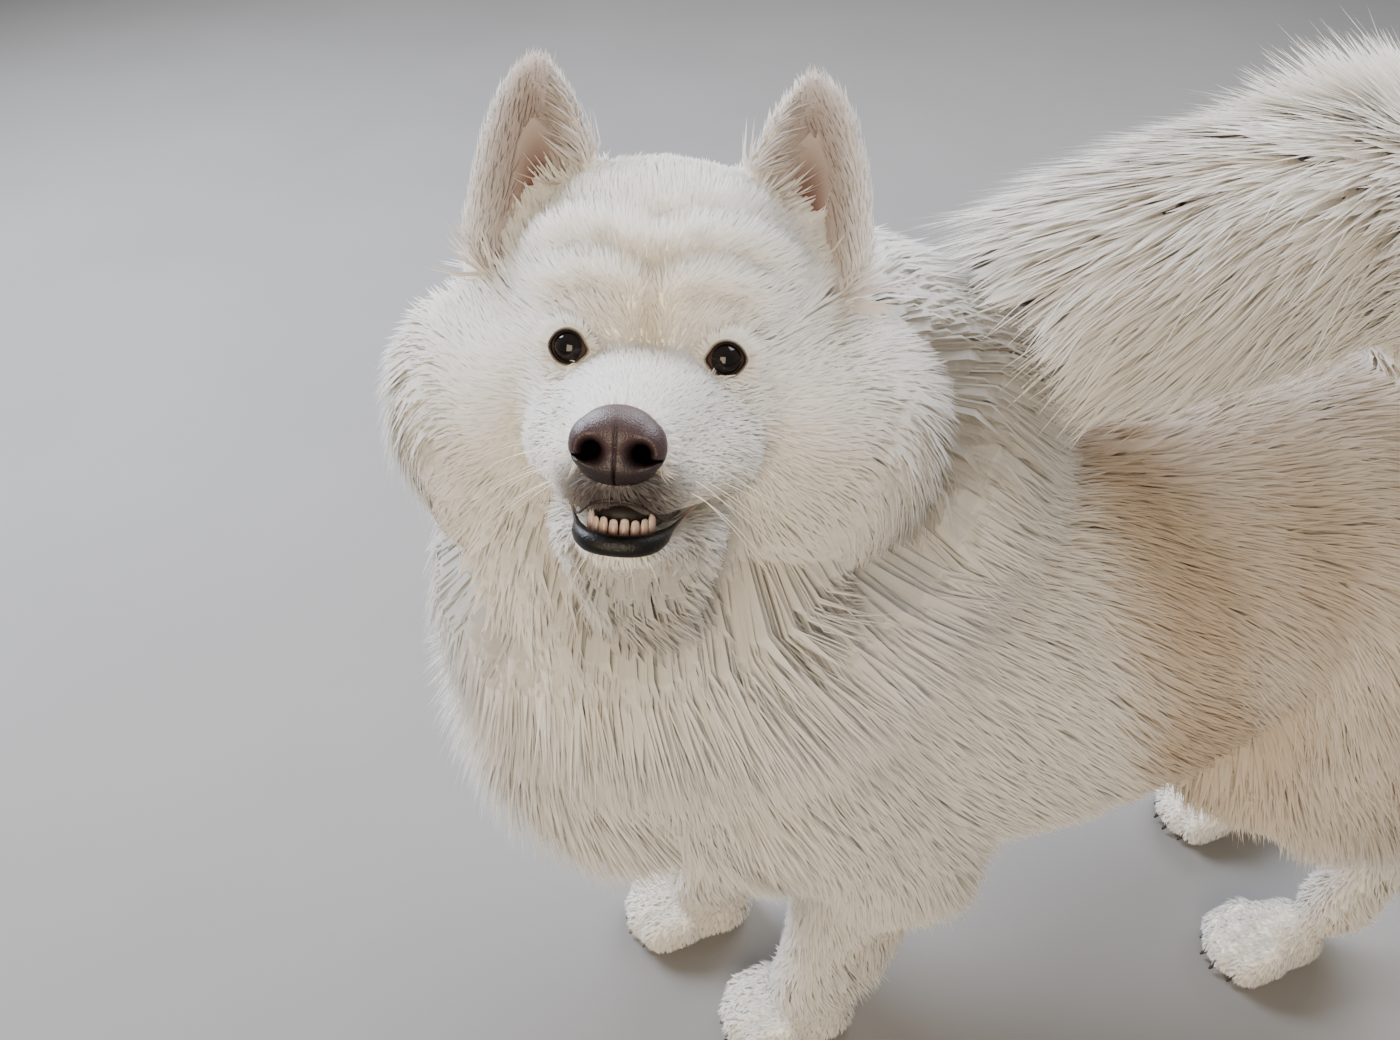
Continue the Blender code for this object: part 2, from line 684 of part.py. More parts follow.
def ear(name, way):
    """A pricked ear with a rounded tip: at each height a cupped section that opens forwards."""
    foot, tip = Vector((way * 0.062, 0.062, 0.030)), Vector((way * 0.068, 0.062, 0.128))
    half_width, depth, wall = 0.038, 0.026, 0.006
    rise = (tip - foot)
    rows, columns = 9, 6
    bm = bmesh.new()
    rings = []
    for row in range(rows):
        v = row / rows
        narrow = math.sqrt(max(0.0, 1.0 - v ** 2.2)) * (1.0 - 0.25 * v)
        centre = foot + rise * v
        ring = []
        for layer, order in ((1, range(columns + 1)), (0, range(columns, -1, -1))):
            for column in order:
                u = 2 * column / columns - 1
                x = half_width * narrow * u * (1.0 if layer else 0.86)
                bow = depth * narrow * (1 - u * u)
                y = bow if layer else max(bow - wall, -0.2 * wall) - 0.3 * wall * (1 - abs(u))
                ring.append(bm.verts.new(HEAD @ (centre + Vector((x, y - 0.25 * depth, 0.0)))))
        rings.append(ring)
    count = len(rings[0])
    for low, high in zip(rings, rings[1:]):
        for k in range(count):
            following = (k + 1) % count
            bm.faces.new((low[k], low[following], high[following], high[k]))
    bm.faces.new(rings[0])
    point = bm.verts.new(HEAD @ tip)
    for k in range(count):
        bm.faces.new((rings[-1][k], rings[-1][(k + 1) % count], point))
    return solid_from(name, bm)


def tail_lofts():
    return [loft("tail", tail_line())]


def tail_line():
    """The tail bone with its plume: up from the croup, then forward along the back."""
    return [
        station((0.000, 0.262, 0.500), 0.030, 0.030, 0.040),
        station((0.002, 0.292, 0.560), 0.026, 0.026, 0.060),
        station((0.008, 0.272, 0.642), 0.022, 0.020, 0.078),
        station((0.016, 0.200, 0.688), 0.020, 0.016, 0.082),
        station((0.022, 0.120, 0.692), 0.018, 0.014, 0.080),
        station((0.022, 0.050, 0.684), 0.014, 0.010, 0.078),
        station((0.020, 0.010, 0.674), 0.008, 0.006, 0.070),
    ]


def quarter(which, hand, gap=0.0):
    """Lowest and highest corners of one leg's space: its own quarter, up to the cut."""
    low_x, high_x = (0.0, 0.3) if hand == "left" else (-0.3, 0.0)
    low_y, high_y = (-0.5, 0.02) if which == "fore" else (0.10, 0.6)
    floor = -0.1 if gap > 0 else 0.0
    return ((low_x - gap, low_y - gap, floor), (high_x + gap, high_y + gap, LEG_TOP[which] + gap))


def trunk_accept(place, normal):
    """Room between locks on the trunk, closer on the neck, none on the lower legs or the face."""
    if place.z < 0.20 or (place - HEAD_AT).length < 0.09:
        return 0.0
    if abs(place.x) < 0.03 and place.z < 0.27 or normal.y < -0.5:
        return 0.8
    return 0.70 if place.z > 0.56 and place.y < -0.08 else 1.0


def trunk_size(place, normal):
    neck = smooth_step((place - NECK_POINT).dot(NECK_NORMAL), -0.10, 0.02)
    breech = smooth_step(place.y, 0.15, 0.30) * smooth_step(0.50 - place.z, 0.0, 0.1)
    belly = smooth_step(-normal.z, 0.5, 0.9)
    chest = smooth_step(-normal.y, 0.2, 0.6) * (1 - neck)
    rise = 0.027 + 0.022 * neck + 0.008 * breech + 0.020 * belly + 0.014 * chest
    return 0.150 - 0.025 * neck, 0.092 - 0.016 * neck, rise


def tail_lie(place, normal):
    """Along the tail to its tip, the sides hanging outwards and down."""
    line = [Vector(row[:3]) for row in tail_line()]
    nearest = min(range(len(line) - 1), key=lambda k: (place - 0.5 * (line[k] + line[k + 1])).length)
    way = (line[nearest + 1] - line[nearest]).normalized()
    return way - 0.55 * UP * smooth_step(0.22 - place.y, 0.0, 0.05)


def tail_size(place, normal):
    return 0.130, 0.066, 0.045


def ruff_accept(place, normal):
    """The cheeks' long hair starts behind the face and below the ears."""
    local = HEAD.inverted() @ place
    if local.y < 0.045 or local.z > 0.012 or abs(local.x) < 0.055:
        return 0.0
    return 1.0


def ruff_lie(place, normal):
    local = HEAD.inverted() @ place
    outward = Vector((local.x, 0.0, local.z + 0.01)).normalized()
    return HEAD.to_3x3() @ (0.7 * outward + Vector((0.0, 0.8, -0.6)))


def ruff_size(place, normal):
    return 0.080, 0.056, 0.028


def neck_and_torso(whole):
    """The body parted under the neck, clear of the head, the tail and the legs."""
    neck = copy_of(whole, "neck")
    boolean(neck, "INTERSECT", side_of("above the shoulders", NECK_POINT, NECK_NORMAL))
    boolean(neck, "INTERSECT", side_of("under the head", HEAD_POINT, -HEAD_NORMAL))
    boolean(neck, "DIFFERENCE", block("plume", (-0.3, TAIL_END - GAP, TAIL_CUT - GAP), (0.3, 0.6, 1.0)))
    torso = whole
    torso.name = "torso"
    boolean(torso, "INTERSECT", side_of("under the neck", NECK_POINT, -NECK_NORMAL))
    boolean(torso, "DIFFERENCE", block("plume", (-0.3, TAIL_END, TAIL_CUT - GAP), (0.3, 0.6, 1.0)))
    boolean(torso, "DIFFERENCE", block("tail", (-0.3, TAIL_SPLIT, TAIL_FOOT - GAP), (0.3, 0.6, 1.0)))
    for which in ("fore", "hind"):
        for hand in ("left", "right"):
            boolean(torso, "DIFFERENCE", block("leg", *quarter(which, hand, GAP)))
    return [neck, torso]


def tail_and_plume(tail):
    """The tail parted where it bends from upright to lying."""
    plume = copy_of(tail, "tail_plume")
    tail.name = "tail_root"
    boolean(plume, "INTERSECT", block("ahead", (-0.3, TAIL_END, TAIL_CUT), (0.3, TAIL_SPLIT, 1.0)))
    boolean(tail, "INTERSECT", block("behind", (-0.3, TAIL_SPLIT + GAP, TAIL_FOOT), (0.3, 0.6, 1.0)))
    return [tail, plume]


def limb_nodes(limb, which, hand):
    """A foreleg whole; a hind leg parted at the hock into shank and foot."""
    name = which + "leg_" + hand
    low, high = quarter(which, hand)
    boolean(limb, "INTERSECT", block("room", (low[0] + GAP / 2 * (low[0] == 0), low[1], low[2]), high))
    limb.name = name
    if which == "fore":
        return [limb]
    foot = copy_of(limb, "hindfoot_" + hand)
    boolean(foot, "INTERSECT", block("foot", (-1, -1, -1), (1, 1, HOCK_CUT)))
    boolean(limb, "INTERSECT", block("shank", (-1, -1, HOCK_CUT + GAP), (1, 1, 1)))
    return [limb, foot]


def head_node(head):
    """The head clear of the neck, of both eyes and of the nose."""
    boolean(head, "INTERSECT", side_of("above the neck", HEAD_POINT, HEAD_NORMAL))
    for way in (1, -1):
        x, y, z = EYE_PLACE
        boolean(head, "DIFFERENCE", ball("socket", (way * x, y, z), (EYE_RADIUS + GAP,) * 3, HEAD))
    boolean(head, "DIFFERENCE", block("nose", (-0.1, -0.1, -0.056), (0.1, NOSE_FRONT, 0.1), HEAD))
    return [head]


def build():
    clear_scene()
    coat = finish_of("coat", (0.78, 0.74, 0.64), 0.9)
    dark = finish_of("eye", (0.015, 0.010, 0.008), 0.1)
    leather = finish_of("nose leather", (0.060, 0.035, 0.030), 0.4)

    body = melted("body", body_lofts(), voxel=0.007, faces=4000, smoothing=12)
    skin = surface_of(body)
    nodes, locks = coated(fewer_faces(body, 720), range(11, 60), lambda seed: locks_over(
        skin, 0.083, trunk_accept, trunk_lie, trunk_size, seed), neck_and_torso)

    tail = melted("tail", tail_lofts(), voxel=0.006, faces=2000)
    skin = surface_of(tail)
    made, drawn = coated(fewer_faces(tail, 300), range(5, 60), lambda seed: locks_over(
        skin, 0.058, lambda place, normal: 1.0, tail_lie, tail_size, seed), tail_and_plume)
    removed(*drawn)
    nodes += made

    for way, hand in ((1, "left"), (-1, "right")):
        for which, stations, paw, scale in (("fore", fore_stations(way, hand), FORE_PAWS[hand], 1.0),
                                            ("hind", thigh_stations(way, hand), HIND_PAWS[hand], 0.92)):
            limb = leg("limb", stations, *paw, scale)
            skin = surface_of(limb)
            room = quarter(which, hand)
            made, drawn = coated(limb, range(9, 60), lambda seed: reaching(locks, *room, seed) + locks_over(
                skin, 0.060, feather_here, feather_lie, feather_size, seed),
                lambda solid: limb_nodes(solid, which, hand))
            removed(*drawn)
            nodes += made
    removed(*locks)

    head = melted("head", head_lofts() + [lip_rim(way, UPPER_LIP, 0.0034) for way in (1, -1)],
                  voxel=0.0026, faces=24000, smoothing=7)
    skin = surface_of(head)
    made, drawn = coated(fewer_faces(head, 1700), range(3, 60), lambda seed: locks_over(
        skin, 0.042, ruff_accept, ruff_lie, ruff_size, seed) + [lids(way) for way in (1, -1)], head_node)
    removed(*drawn)
    head = made[0]
    head.name = "head"
    nodes.append(head)

    nose = melted("nose", nose_lofts(), voxel=0.0012, faces=150, smoothing=5)
    for cut in nostrils():
        boolean(nose, "DIFFERENCE", cut)
    boolean(nose, "DIFFERENCE", grown(head))
    nose.data.materials.append(leather)
    nodes.append(largest_only(nose))
    jaw = fused(melted("jaw", jaw_lofts(), voxel=0.0022, faces=280, smoothing=5), teeth())
    boolean(jaw, "DIFFERENCE", grown(head))
    boolean(jaw, "INTERSECT", side_of("above the neck", HEAD_POINT, HEAD_NORMAL))
    nodes.append(largest_only(jaw))
    for way, hand in ((1, "left"), (-1, "right")):
        x, y, z = EYE_PLACE
        eye = ball("eye_" + hand, (way * x, y, z), (EYE_RADIUS,) * 3, HEAD)
        eye.data.materials.append(dark)
        pinna = boolean(ear("ear_" + hand, way), "DIFFERENCE", grown(head))
        nodes += [eye, largest_only(pinna)]

    for node in nodes:
        if not node.data.materials:
            node.data.materials.append(coat)
    corners = np.array([vert.co for node in nodes for vert in node.data.vertices])
    low, high = corners.min(axis=0), corners.max(axis=0)
    shift = Matrix.Translation((-(low[0] + high[0]) / 2, -(low[1] + high[1]) / 2, -low[2]))
    for node in nodes:
        node.data.transform(shift)


build()
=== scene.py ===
"""A white samoyed that stands with its head raised and turned to its left, life size.

The dog faces -Y, its left is +X and it stands on Z = 0.  Its sizes are given in the dog's
own frame, and the head's in the head's frame (muzzle along -Y, origin between the eyes).
"""
import math

import bpy
import numpy as np
from mathutils import Matrix, Vector


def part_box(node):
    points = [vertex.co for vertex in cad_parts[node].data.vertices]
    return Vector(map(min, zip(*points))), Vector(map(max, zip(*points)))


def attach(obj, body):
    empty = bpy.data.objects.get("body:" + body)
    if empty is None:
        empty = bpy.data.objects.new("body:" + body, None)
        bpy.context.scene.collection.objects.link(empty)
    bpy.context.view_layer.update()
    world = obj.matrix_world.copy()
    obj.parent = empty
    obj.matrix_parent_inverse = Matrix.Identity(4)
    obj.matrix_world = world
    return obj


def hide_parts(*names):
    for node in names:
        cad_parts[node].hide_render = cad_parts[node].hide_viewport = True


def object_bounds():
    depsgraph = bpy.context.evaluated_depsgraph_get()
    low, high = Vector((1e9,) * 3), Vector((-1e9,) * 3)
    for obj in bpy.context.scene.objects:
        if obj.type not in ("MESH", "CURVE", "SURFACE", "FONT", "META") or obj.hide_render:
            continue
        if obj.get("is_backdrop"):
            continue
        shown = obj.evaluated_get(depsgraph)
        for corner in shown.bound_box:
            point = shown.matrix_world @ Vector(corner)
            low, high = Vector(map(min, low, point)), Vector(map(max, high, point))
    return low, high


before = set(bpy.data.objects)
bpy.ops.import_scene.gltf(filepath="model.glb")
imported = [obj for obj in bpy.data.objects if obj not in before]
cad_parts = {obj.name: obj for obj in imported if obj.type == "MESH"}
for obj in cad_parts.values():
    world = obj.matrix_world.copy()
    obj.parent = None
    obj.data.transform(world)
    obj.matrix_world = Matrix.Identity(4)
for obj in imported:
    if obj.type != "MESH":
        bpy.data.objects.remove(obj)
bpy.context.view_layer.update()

# ---------------------------------------------------------------- where the dog stands
# The head is carried high and turned to the dog's left, its muzzle raised.  The left
# eyeball's place in the head ties the dog's own frame to the frame of the model.
HEAD_AT = (0.112, -0.265, 0.732)
HEAD_TURN, HEAD_RAISE, HEAD_ROLL = 72.7, 30.0, 2.7     # degrees
EYE_PLACE = (0.0345, 0.0085, 0.0)
HANDS = ((1, "left"), (-1, "right"))

HEAD = np.array(Matrix.Translation(HEAD_AT) @ Matrix.Rotation(math.radians(HEAD_TURN), 4, "Z")
                @ Matrix.Rotation(math.radians(-HEAD_RAISE), 4, "X")
                @ Matrix.Rotation(math.radians(HEAD_ROLL), 4, "Y"))
HEAD_AXES = HEAD[:3, :3]
LEFT, BACK, UP = np.eye(3)


def on_head(x, y, z):
    """A place in the head's frame, in the dog's: turned by the head's axes, then moved."""
    return HEAD_AXES @ (x, y, z) + HEAD[:3, 3]


def from_head(places):
    """Rows of places in the head's frame, in the dog's."""
    return places @ HEAD_AXES.T + HEAD[:3, 3]


def in_head(places):
    """Rows of places in the dog's frame, as the head's frame sees them."""
    return (places - HEAD[:3, 3]) @ HEAD_AXES


DOG_AT = sum(map(np.array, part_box("eye_left"))) / 2 - on_head(*EYE_PLACE)

# ---------------------------------------------------------------- studio
# A plain pale floor under soft light: a large cool window ahead on the dog's right, paler
# light of the sky from behind it, and a weak warm fill from the dog's left.
CAMERA_AT = (0.5887, -0.3484, 1.037)
CAMERA_RIGHT = (0.2271, 0.9738, -0.0101)
CAMERA_UP = (-0.6220, 0.1530, 0.7679)
FOCAL_SHARE = 1261.4 / 1400         # focal length over the width of the image
FLOOR_REACH = 6.0
LIT_PLACE = (0.0, -0.1, 0.5)
# Name, place, size, watts, colour; every lamp points at the lit place.
LAMPS = (("window", (-1.9, -1.5, 1.9), 1.3, 185.0, "e8f0ff"),
         ("sky", (-1.0, 1.3, 2.4), 2.0, 125.0, "f4f7ff"),
         ("fill", (1.9, -1.1, 1.5), 1.3, 60.0, "ffe9c8"))
AIR_COLOUR, AIR_STRENGTH = "e9e6e0", 0.60


def linear(code):
    """An sRGB hex code as linear red, green, blue: the standard curve, channel by channel."""
    channel = np.array([int(code[k:k + 2], 16) for k in (0, 2, 4)]) / 255
    return np.where(channel > 0.04045, ((channel + 0.055) / 1.055) ** 2.4, channel / 12.92)


def add_node(tree, kind, links=(), **settings):
    """A node with its settings; links are (own socket, node, that node's output)."""
    made = tree.nodes.new(kind)
    for name, value in settings.items():
        if name.startswith("in_"):
            made.inputs[name[3:].replace("_", " ")].default_value = value
        else:
            setattr(made, name, value)
    for socket, source, output in links:
        tree.links.new(source.outputs[output], made.inputs[socket])
    return made


def material(name, painted=False, **sockets):
    """A Principled material, its tree and its shader; a painted one shows the mesh's own hue."""
    made = bpy.data.materials.new(name)
    made.use_nodes = True
    tree = made.node_tree
    shader = tree.nodes["Principled BSDF"]
    for socket, value in sockets.items():
        value = (*linear(value), 1.0) if isinstance(value, str) else value
        shader.inputs[socket.replace("_", " ")].default_value = value
    if painted:
        hue = add_node(tree, "ShaderNodeAttribute", attribute_name="hue")
        tree.links.new(hue.outputs["Color"], shader.inputs["Base Color"])
    return made, tree, shader


def mesh_object(name, places, faces, finish, smooth=True):
    """An object at the origin from places in the dog's frame and rows of corner numbers."""
    mesh = bpy.data.meshes.new(name)
    faces = [rows for rows in (faces if isinstance(faces, list) else [faces]) if len(rows)]
    corners = np.concatenate([rows.ravel() for rows in faces]).astype(np.int32)
    totals = np.concatenate([np.full(len(rows), rows.shape[1]) for rows in faces]).astype(np.int32)
    starts = np.concatenate([[0], np.cumsum(totals)[:-1]]).astype(np.int32)
    mesh.vertices.add(len(places))
    mesh.vertices.foreach_set("co", (places + DOG_AT).astype(np.float32).ravel())
    mesh.loops.add(len(corners))
    mesh.loops.foreach_set("vertex_index", corners)
    mesh.polygons.add(len(totals))
    mesh.polygons.foreach_set("loop_start", starts)
    mesh.polygons.foreach_set("use_smooth", np.full(len(totals), smooth))
    mesh.update(calc_edges=True)
    mesh.materials.append(finish)
    made = bpy.data.objects.new(name, mesh)
    bpy.context.scene.collection.objects.link(made)
    return made


camera = bpy.data.objects.new("camera", bpy.data.cameras.new("camera"))
camera.data.sensor_width = 36.0
camera.data.lens = 36.0 * FOCAL_SHARE
camera.data.clip_start = 0.01
camera_axes = Matrix((CAMERA_RIGHT, CAMERA_UP, np.cross(CAMERA_RIGHT, CAMERA_UP))).transposed()
camera.matrix_world = Matrix.Translation(np.array(CAMERA_AT) + DOG_AT) @ camera_axes.to_4x4()
bpy.context.scene.collection.objects.link(camera)
bpy.context.scene.camera = camera

# Painted concrete floor, pale grey, matt, with a faint cloudiness from the float.
floor_finish, tree, shader = material("painted concrete", Roughness=0.75)
coords = add_node(tree, "ShaderNodeTexCoord")
cloud = add_node(tree, "ShaderNodeTexNoise", [("Vector", coords, "Object")], in_Scale=3.0, in_Detail=4.0)
tone = add_node(tree, "ShaderNodeMix", [("Factor", cloud, "Fac")], data_type="RGBA")
tone.inputs["A"].default_value = (*linear("777573"), 1.0)
tone.inputs["B"].default_value = (*linear("82807e"), 1.0)
tree.links.new(tone.outputs["Result"], shader.inputs["Base Color"])
floor_places = FLOOR_REACH * np.array([(-1, -1, 0), (1, -1, 0), (1, 1, 0), (-1, 1, 0)])
floor = mesh_object("floor", floor_places, np.array([[0, 1, 2, 3]]), floor_finish, smooth=False)
floor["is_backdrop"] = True

for name, place, size, power, colour in LAMPS:
    lamp = bpy.data.objects.new(name, bpy.data.lights.new(name, "AREA"))
    lamp.data.size = size
    lamp.data.energy = power
    lamp.data.color = linear(colour)
    heading = Vector(np.array(LIT_PLACE) - np.array(place))
    lamp.matrix_world = (Matrix.Translation(np.array(place) + DOG_AT)
                         @ heading.to_track_quat("-Z", "Y").to_matrix().to_4x4())
    bpy.context.scene.collection.objects.link(lamp)

world = bpy.data.worlds.new("studio air")
world.use_nodes = True
world.node_tree.nodes["Background"].inputs["Color"].default_value = (*linear(AIR_COLOUR), 1.0)
world.node_tree.nodes["Background"].inputs["Strength"].default_value = AIR_STRENGTH
bpy.context.scene.world = world

# ---------------------------------------------------------------- skin
# The body under the coat: one continuous skin over trunk, neck, legs, tail, skull and ears,
# at the depth where the long hair grows.  A station is a place, two radii and the coat's depth.
SKIN_VOXEL = 0.0026
SKIN_SHARE = 0.42                   # of the skin's triangles that stay in the end
HEAD_SHARE = 0.60                   # how much of the head's short coat lies inside the skin
FORE_PAWS = {"left": (0.054, -0.165), "right": (-0.066, -0.225)}
HIND_PAWS = {"left": (0.090, 0.268), "right": (-0.056, 0.302)}
HIND_SCALE = 0.92                   # of a hind paw to a fore paw
TOES = (-1.5, -0.5, 0.5, 1.5)       # counted from the middle of the paw
ELBOW = (0.078, -0.105, 0.290)
STIFLE = (0.090, 0.160, 0.300)
WRIST_HEIGHT, HOCK_HEIGHT, HOCK_BEHIND_PAW = 0.120, 0.150, 0.085
SKULL = (0, 0.075, 0.022)           # middle of the skull, in the head's frame
EAR_FOOT, EAR_TIP = (0.060, 0.062, 0.010), (0.068, 0.062, 0.128)
EAR_HALF_WIDTH, EAR_DEPTH, EAR_WALL = 0.042, 0.026, 0.007
DEEPEST_FILL = 0.026                # of the hollows between the lofts of the head
FOLD_HEIGHT, FOLD_SPACING = 0.0017, 0.021
FURROW_DEPTH, FURROW_WIDTH = 0.0030, 0.0055
NOSE_BACK = -0.0740                 # the skin ends here behind the nose leather


def drawn_through(stations, per_span):
    """Catmull-Rom rows through p, a, b, n: for each span from a to b and share t of it,
    half of 2a + (b - p)t + (2p - 5a + 4b - n)t^2 + (3a - p - 3b + n)t^3.
    """
    s = np.array(stations, float)
    ends = np.vstack([2 * s[0] - s[1], s, 2 * s[-1] - s[-2]])
    before, a, b, after = (ends[k:len(ends) - 3 + k, None] for k in range(4))
    t = (np.arange(per_span) / per_span)[None, :, None]
    rows = 0.5 * (2 * a + (b - before) * t + (2 * before - 5 * a + 4 * b - after) * t ** 2
                  + (3 * a - before - 3 * b + after) * t ** 3)
    return np.vstack([rows.reshape(-1, s.shape[1]), s[-1]])


def unit(rows):
    """Rows scaled to length one."""
    return rows / np.maximum(np.linalg.norm(rows, axis=-1, keepdims=True), 1e-12)


def smooth_step(value, low, high):
    """Rises from 0 at low to 1 at high as t^2 (3 - 2t)."""
    t = np.clip((value - low) / (high - low), 0, 1)
    return t * t * (3 - 2 * t)


def mixed(first, second, share):
    """A colour between two, each a hex code or linear rows: first + (second - first) * share."""
    first, second = (linear(hue) if isinstance(hue, str) else hue for hue in (first, second))
    return first + (second - first) * share


def oval_loft(stations, side=LEFT, share=0.0, sides=24, per_span=5, cap_rings=6):
    """A grid of closed oval sections: centre + across * wide * cos(turn) + upward * high * sin(turn).

    The centres and radii follow the stations; half-round caps close both ends.
    """
    rows = drawn_through(stations, per_span)
    centre, radii = rows[:, :3], rows[:, 3:5] + share * rows[:, 5:6]
    way = unit(np.gradient(centre, axis=0))
    turn = 0.5 * np.pi * np.arange(cap_rings) / cap_rings
    grow, reach = np.sin(turn)[:, None], np.cos(turn)[:, None]
    first = centre[0] - way[0] * radii[0].mean() * reach
    last = centre[-1] + way[-1] * radii[-1].mean() * reach
    centre = np.vstack([first, centre, last[::-1]])
    radii = np.vstack([radii[0] * grow, radii, (radii[-1] * grow)[::-1]])
    way = np.vstack([np.repeat(way[:1], cap_rings, 0), way, np.repeat(way[-1:], cap_rings, 0)])
    across = unit(side - way * (way @ side)[:, None])
    upward = np.cross(way, across)
    angle = 2 * np.pi * np.arange(sides) / sides
    return (centre[:, None] + across[:, None] * (radii[:, :1] * np.cos(angle))[..., None]
            + upward[:, None] * (radii[:, 1:] * np.sin(angle))[..., None])


def joined(*grids):
    """Grids whose rows close on themselves, as one list of places and one of four-cornered faces."""
    places, faces, count = [], [], 0
    for grid in grids:
        rings, sides = grid.shape[:2]
        low = np.arange(rings - 1)[:, None] * sides + np.arange(sides)
        beside = np.arange(rings - 1)[:, None] * sides + (np.arange(sides) + 1) % sides
        places.append(grid.reshape(-1, 3))
        faces.append(np.stack([low, beside, beside + sides, low + sides], -1).reshape(-1, 4) + count)
        count += rings * sides
    return np.vstack(places), np.vstack(faces)


def applied(made):
    """Replaces an object's mesh by what its modifiers make of it, and keeps its finish."""
    finish = made.data.materials[0]
    graph = bpy.context.evaluated_depsgraph_get()
    mesh = bpy.data.meshes.new_from_object(made.evaluated_get(graph))
    made.modifiers.clear()
    made.data = mesh
    if not len(mesh.materials):
        mesh.materials.append(finish)


def places_of(made):
    """An object's vertices in the dog's frame."""
    flat = np.empty(len(made.data.vertices) * 3, np.float32)
    made.data.vertices.foreach_get("co", flat)
    return flat.reshape(-1, 3).astype(float) - DOG_AT


def place_points(made, places):
    """Moves an object's vertices to places in the dog's frame."""
    made.data.vertices.foreach_set("co", (places + DOG_AT).astype(np.float32).ravel())
    made.data.update()


def corners_of(made):
    """The vertex number of each corner of an object's faces."""
    corners = np.empty(len(made.data.loops), np.int32)
    made.data.loops.foreach_get("vertex_index", corners)
    return corners


def melted(name, grids, voxel, finish):
    """One even skin over overlapping closed grids: a voxel remesh.  Returns it, its places and its quads."""
    made = mesh_object(name, *joined(*grids), finish)
    remesh = made.modifiers.new("melt", "REMESH")
    remesh.mode = "VOXEL"
    remesh.voxel_size = voxel
    remesh.use_smooth_shade = True
    applied(made)
    return made, places_of(made), corners_of(made).reshape(-1, 4)


def smoothed(places, quads, rounds, share=0.5):
    """Each round moves every point by that share towards the mean of its neighbours on the mesh."""
    one = quads.ravel()
    other = np.roll(quads, -1, axis=1).ravel()
    links = np.bincount(one, minlength=len(places))
    for _ in range(rounds):
        mean = np.stack([np.bincount(one, places[other, axis], len(places)) for axis in range(3)], 1)
        places = places + np.reshape(share, (-1, 1)) * (mean / links[:, None] - places)
    return places


def calmed(made, places, rounds):
    """Places of a copy of the mesh after that many rounds of even smoothing."""
    place_points(made, places)
    copy = made.copy()
    copy.data = made.data.copy()
    bpy.context.scene.collection.objects.link(copy)
    even = copy.modifiers.new("even", "SMOOTH")
    even.factor = 0.8
    even.iterations = rounds
    applied(copy)
    calm = places_of(copy)
    bpy.data.objects.remove(copy)
    return calm


def point_normals(places, quads):
    """Vertex normals: the sum of the cross products of the diagonals of the faces round each point."""
    a, b, c, d = (places[quads[:, k]] for k in range(4))
    face = np.cross(c - a, d - b)
    total = np.zeros_like(places)
    for k in range(4):
        for axis in range(3):
            total[:, axis] += np.bincount(quads[:, k], face[:, axis], len(places))
    return unit(total)


def colour_points(made, colours):
    """Stores one linear colour for each vertex as the attribute hue."""
    layer = made.data.attributes.new("hue", "FLOAT_COLOR", "POINT")
    rows = np.column_stack([colours, np.ones(len(colours))])
    layer.data.foreach_set("color", rows.astype(np.float32).ravel())


def hstation(x, y, z, half_width, half_height, coat=0.0):
    """A station given in the head's frame."""
    return (*on_head(x, y, z), half_width, half_height, coat)


TRUNK = ((-0.004, -0.242, 0.414, 0.082, 0.094, 0.056), (0, -0.160, 0.410, 0.100, 0.128, 0.050),
         (0, -0.060, 0.405, 0.108, 0.130, 0.045), (0, 0.060, 0.417, 0.104, 0.116, 0.045),
         (0, 0.160, 0.436, 0.094, 0.100, 0.045), (0, 0.235, 0.447, 0.084, 0.088, 0.045),
         (0, 0.275, 0.444, 0.066, 0.072, 0.048))
NECK = ((0, -0.165, 0.455, 0.085, 0.085, 0.060), (0.010, -0.212, 0.550, 0.082, 0.084, 0.068),
        (0.030, -0.248, 0.638, 0.074, 0.084, 0.082), hstation(0, 0.080, -0.012, 0.056, 0.058, 0.066))
MANE = (hstation(0, 0.115, -0.008, 0.045, 0.050, 0.062), (0.022, -0.168, 0.655, 0.050, 0.055, 0.066),
        (0.004, -0.110, 0.570, 0.055, 0.055, 0.055))
TAIL = ((0.000, 0.262, 0.500, 0.030, 0.030, 0.040), (0.002, 0.292, 0.560, 0.026, 0.026, 0.060),
        (0.008, 0.272, 0.642, 0.022, 0.020, 0.078), (0.016, 0.200, 0.688, 0.020, 0.016, 0.082),
        (0.022, 0.120, 0.692, 0.018, 0.014, 0.080), (0.022, 0.050, 0.684, 0.014, 0.010, 0.078),
        (0.020, 0.010, 0.674, 0.008, 0.006, 0.070))


def fore_leg(way, hand):
    """Shoulder, elbow, wrist and the leg down to the paw."""
    x, y = FORE_PAWS[hand]
    lean = y - FORE_PAWS["left"][1]
    return ((way * 0.068, -0.190 + 0.2 * lean, 0.430, 0.048, 0.060, 0.045),
            (way * ELBOW[0], ELBOW[1] + 0.4 * lean, ELBOW[2], 0.034, 0.042, 0.036),
            (0.5 * (way * ELBOW[0] + x), y + 0.048, 0.5 * (ELBOW[2] + WRIST_HEIGHT), 0.024, 0.029, 0.024),
            (x, y + 0.036, WRIST_HEIGHT, 0.021, 0.023, 0.014), (x, y + 0.022, 0.045, 0.020, 0.022, 0.012))


